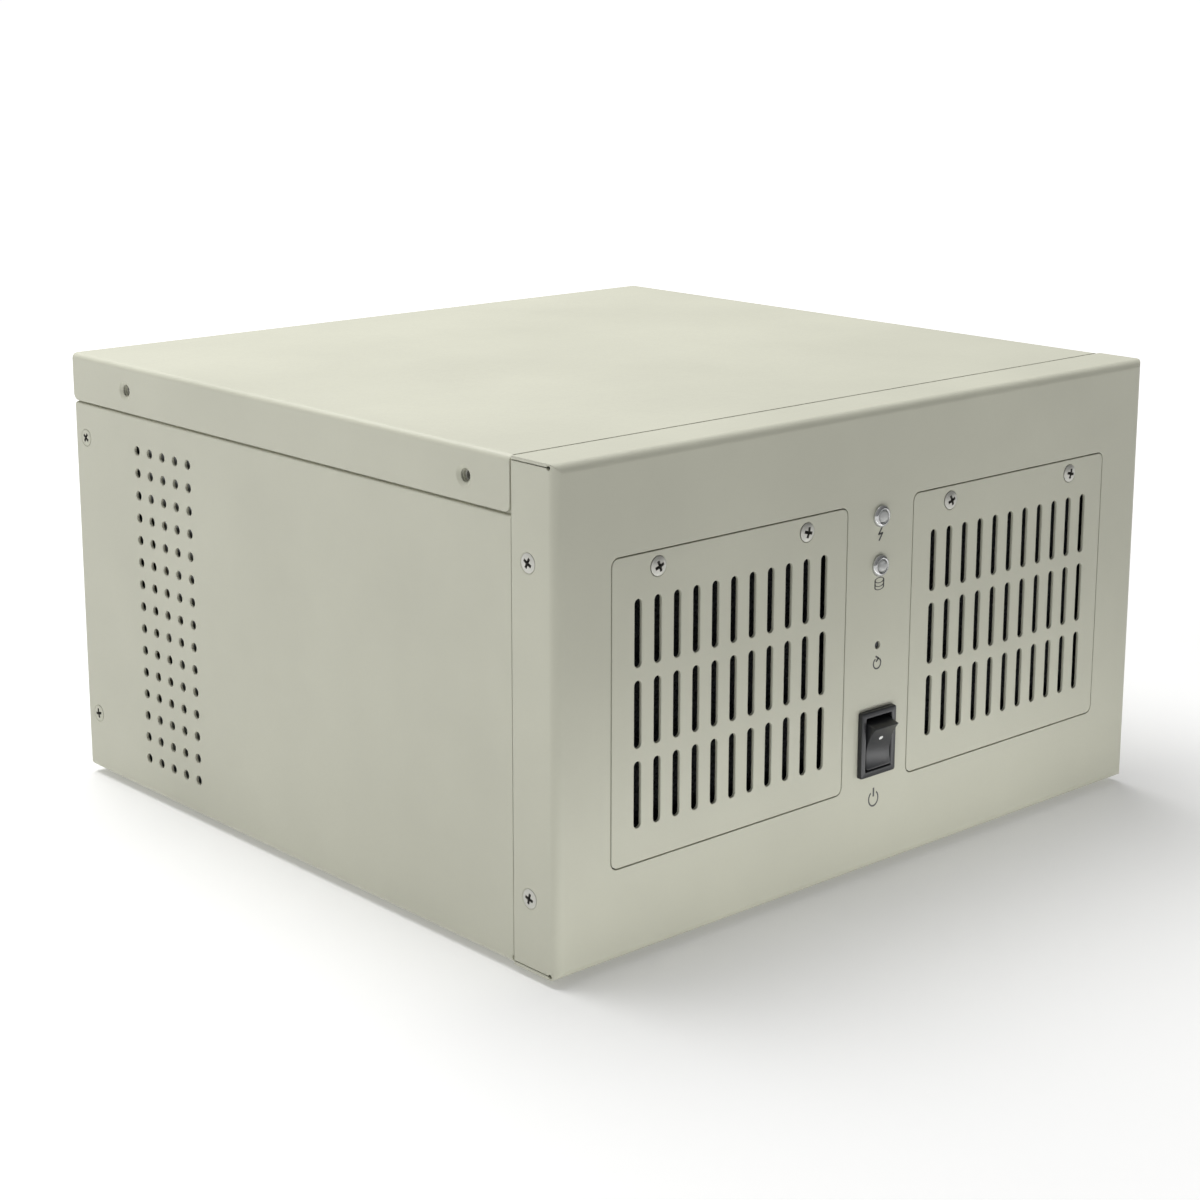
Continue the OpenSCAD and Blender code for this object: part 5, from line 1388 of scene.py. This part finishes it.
def smoothRoute(points, steps=7):
    # the same easing as the CAD route has
    made = []
    for k in range(len(points) - 1):
        a, b, c, d = (Vector(points[max(0, min(len(points) - 1, k + j))]) for j in (-1, 0, 1, 2))
        for step in range(steps):
            t = step / steps
            bent = (2 * a - 5 * b + 4 * c - d) * t * t + (3 * b - a - 3 * c + d) * t ** 3
            made.append(0.5 * (2 * b + (c - a) * t + bent))
    return made + [Vector(points[-1])]


def followed(line, along, up):
    # every point of a line, with a turn that follows the line and doesn't twist round it
    last, turn = None, None
    for k, point in enumerate(line):
        ahead = (line[min(k + 1, len(line) - 1)] - line[max(k - 1, 0)]).normalized()
        turn = ahead.to_track_quat(along, up) if turn is None else last.rotation_difference(ahead) @ turn
        last = ahead
        yield point, turn


def tube(bm, line, radius, sides=8):
    # a round wire drawn along a line of points
    ring = None
    for point, turn in followed(line, "Z", "Y"):
        place = Matrix.Translation(point) @ turn.to_matrix().to_4x4()
        edges = edgesAt(bmesh.ops.create_circle(bm, segments=sides, radius=radius, matrix=place)["verts"])
        if ring:
            bmesh.ops.bridge_loops(bm, edges=ring + edges)
        else:
            bmesh.ops.edgeloop_fill(bm, edges=edges)
        ring = edges
    bmesh.ops.edgeloop_fill(bm, edges=ring)


def wireLines(s):
    # a third of the wires run inside the others; a bundle without spread lies flat
    middle, count = smoothRoute(s["route"]), s["wires"]
    lines = [[] for _ in range(count)]
    for k, (point, turn) in enumerate(followed(middle, "X", "Z")):
        for n in range(count):
            if s["spread"]:
                inner = n >= count * 2 // 3
                around = 2 * math.pi * n / (count * 2 / 3) + s["twist"] * k / len(middle) + (1 if inner else 0)
                out = s["spread"] * (0.45 if inner else 1)
                offset = Vector((0, math.cos(around) * out, math.sin(around) * out))
            else:
                offset = Vector((0, 0, (n - (count - 1) / 2) * s["wire"] * 1.9))
            lines[n].append(point + turn @ offset)
    return lines


for node, s in cableSet.items():
    bundles = {look: bmesh.new() for look in s["looks"]}
    for n, line in enumerate(wireLines(s)):
        put(bundles[s["looks"][n % len(s["looks"])]], Matrix(), tube, line, s["wire"])
    for look, bm in bundles.items():
        finishPiece(node + look[:-6].capitalize(), bm, look, [node], angle=60)

plugBm, tieBm = bmesh.new(), bmesh.new()
for low, high in solidsOf("board_connectors"):
    middle = (low + high) / 2
    wide, deep = (high - low).xy
    if wide > 50:  # the main power plug
        put(plugBm, shift(middle.x, middle.y, high.z), loft,
            [(wide - 2.4, deep - 2.4, 0.6, -2.6), (wide - 2.4, deep - 2.4, 0.6, 3.5),
             (wide - 3.4, deep - 3.4, 0.6, 4.4)])
finishPiece("powerPlug", plugBm, "whitePlastic")
harness = smoothRoute(cableSet["power_harness"]["route"])
for k in (16, 30, 40, 50):
    way = (harness[k + 1] - harness[k - 1]).normalized()
    put(tieBm, facing(way, harness[k]), spun, [(4, -1.2), (4.5, -1.2), (4.5, 1.2), (4, 1.2), (4, -1.2)], 20)
finishPiece("harnessTies", tieBm, "blackJacket")
print("stage: cables")


# hard drive

driveSet = {"screws": ((12, 14), (12, 88), (130, 14), (130, 88), (70, 96)), "margin": 8}
low, high = boxOf("hard_drive")
middle = (low + high) / 2
wide, tall = (size - driveSet["margin"] for size in (high - low).yz)
driveScrews, driveLid = bmesh.new(), bmesh.new()
driveHead = drawn(crossHead, 1.9, 1.0, 0.35, 0.3, 0.5)
put(driveLid, facing((-1, 0, 0), (low.x, middle.y, middle.z)), loft,
    [(wide, tall, 5, -0.3), (wide, tall, 5, 0.25), (wide - 2, tall - 2, 4.5, 0.7), (60, 60, 29, 0.7),
     (58, 58, 28, 0.3)])
for y, z in driveSet["screws"]:
    spot = (low.x - 0.6, low.y + y, low.z + z)
    stamp(driveScrews, driveHead, facing((-1, 0, 0), spot, turns.uniform(0, 90)))
finishPiece("driveCover", driveLid, "nickel")
finishPiece("driveScrews", driveScrews, steel)
print("stage: hard drive")
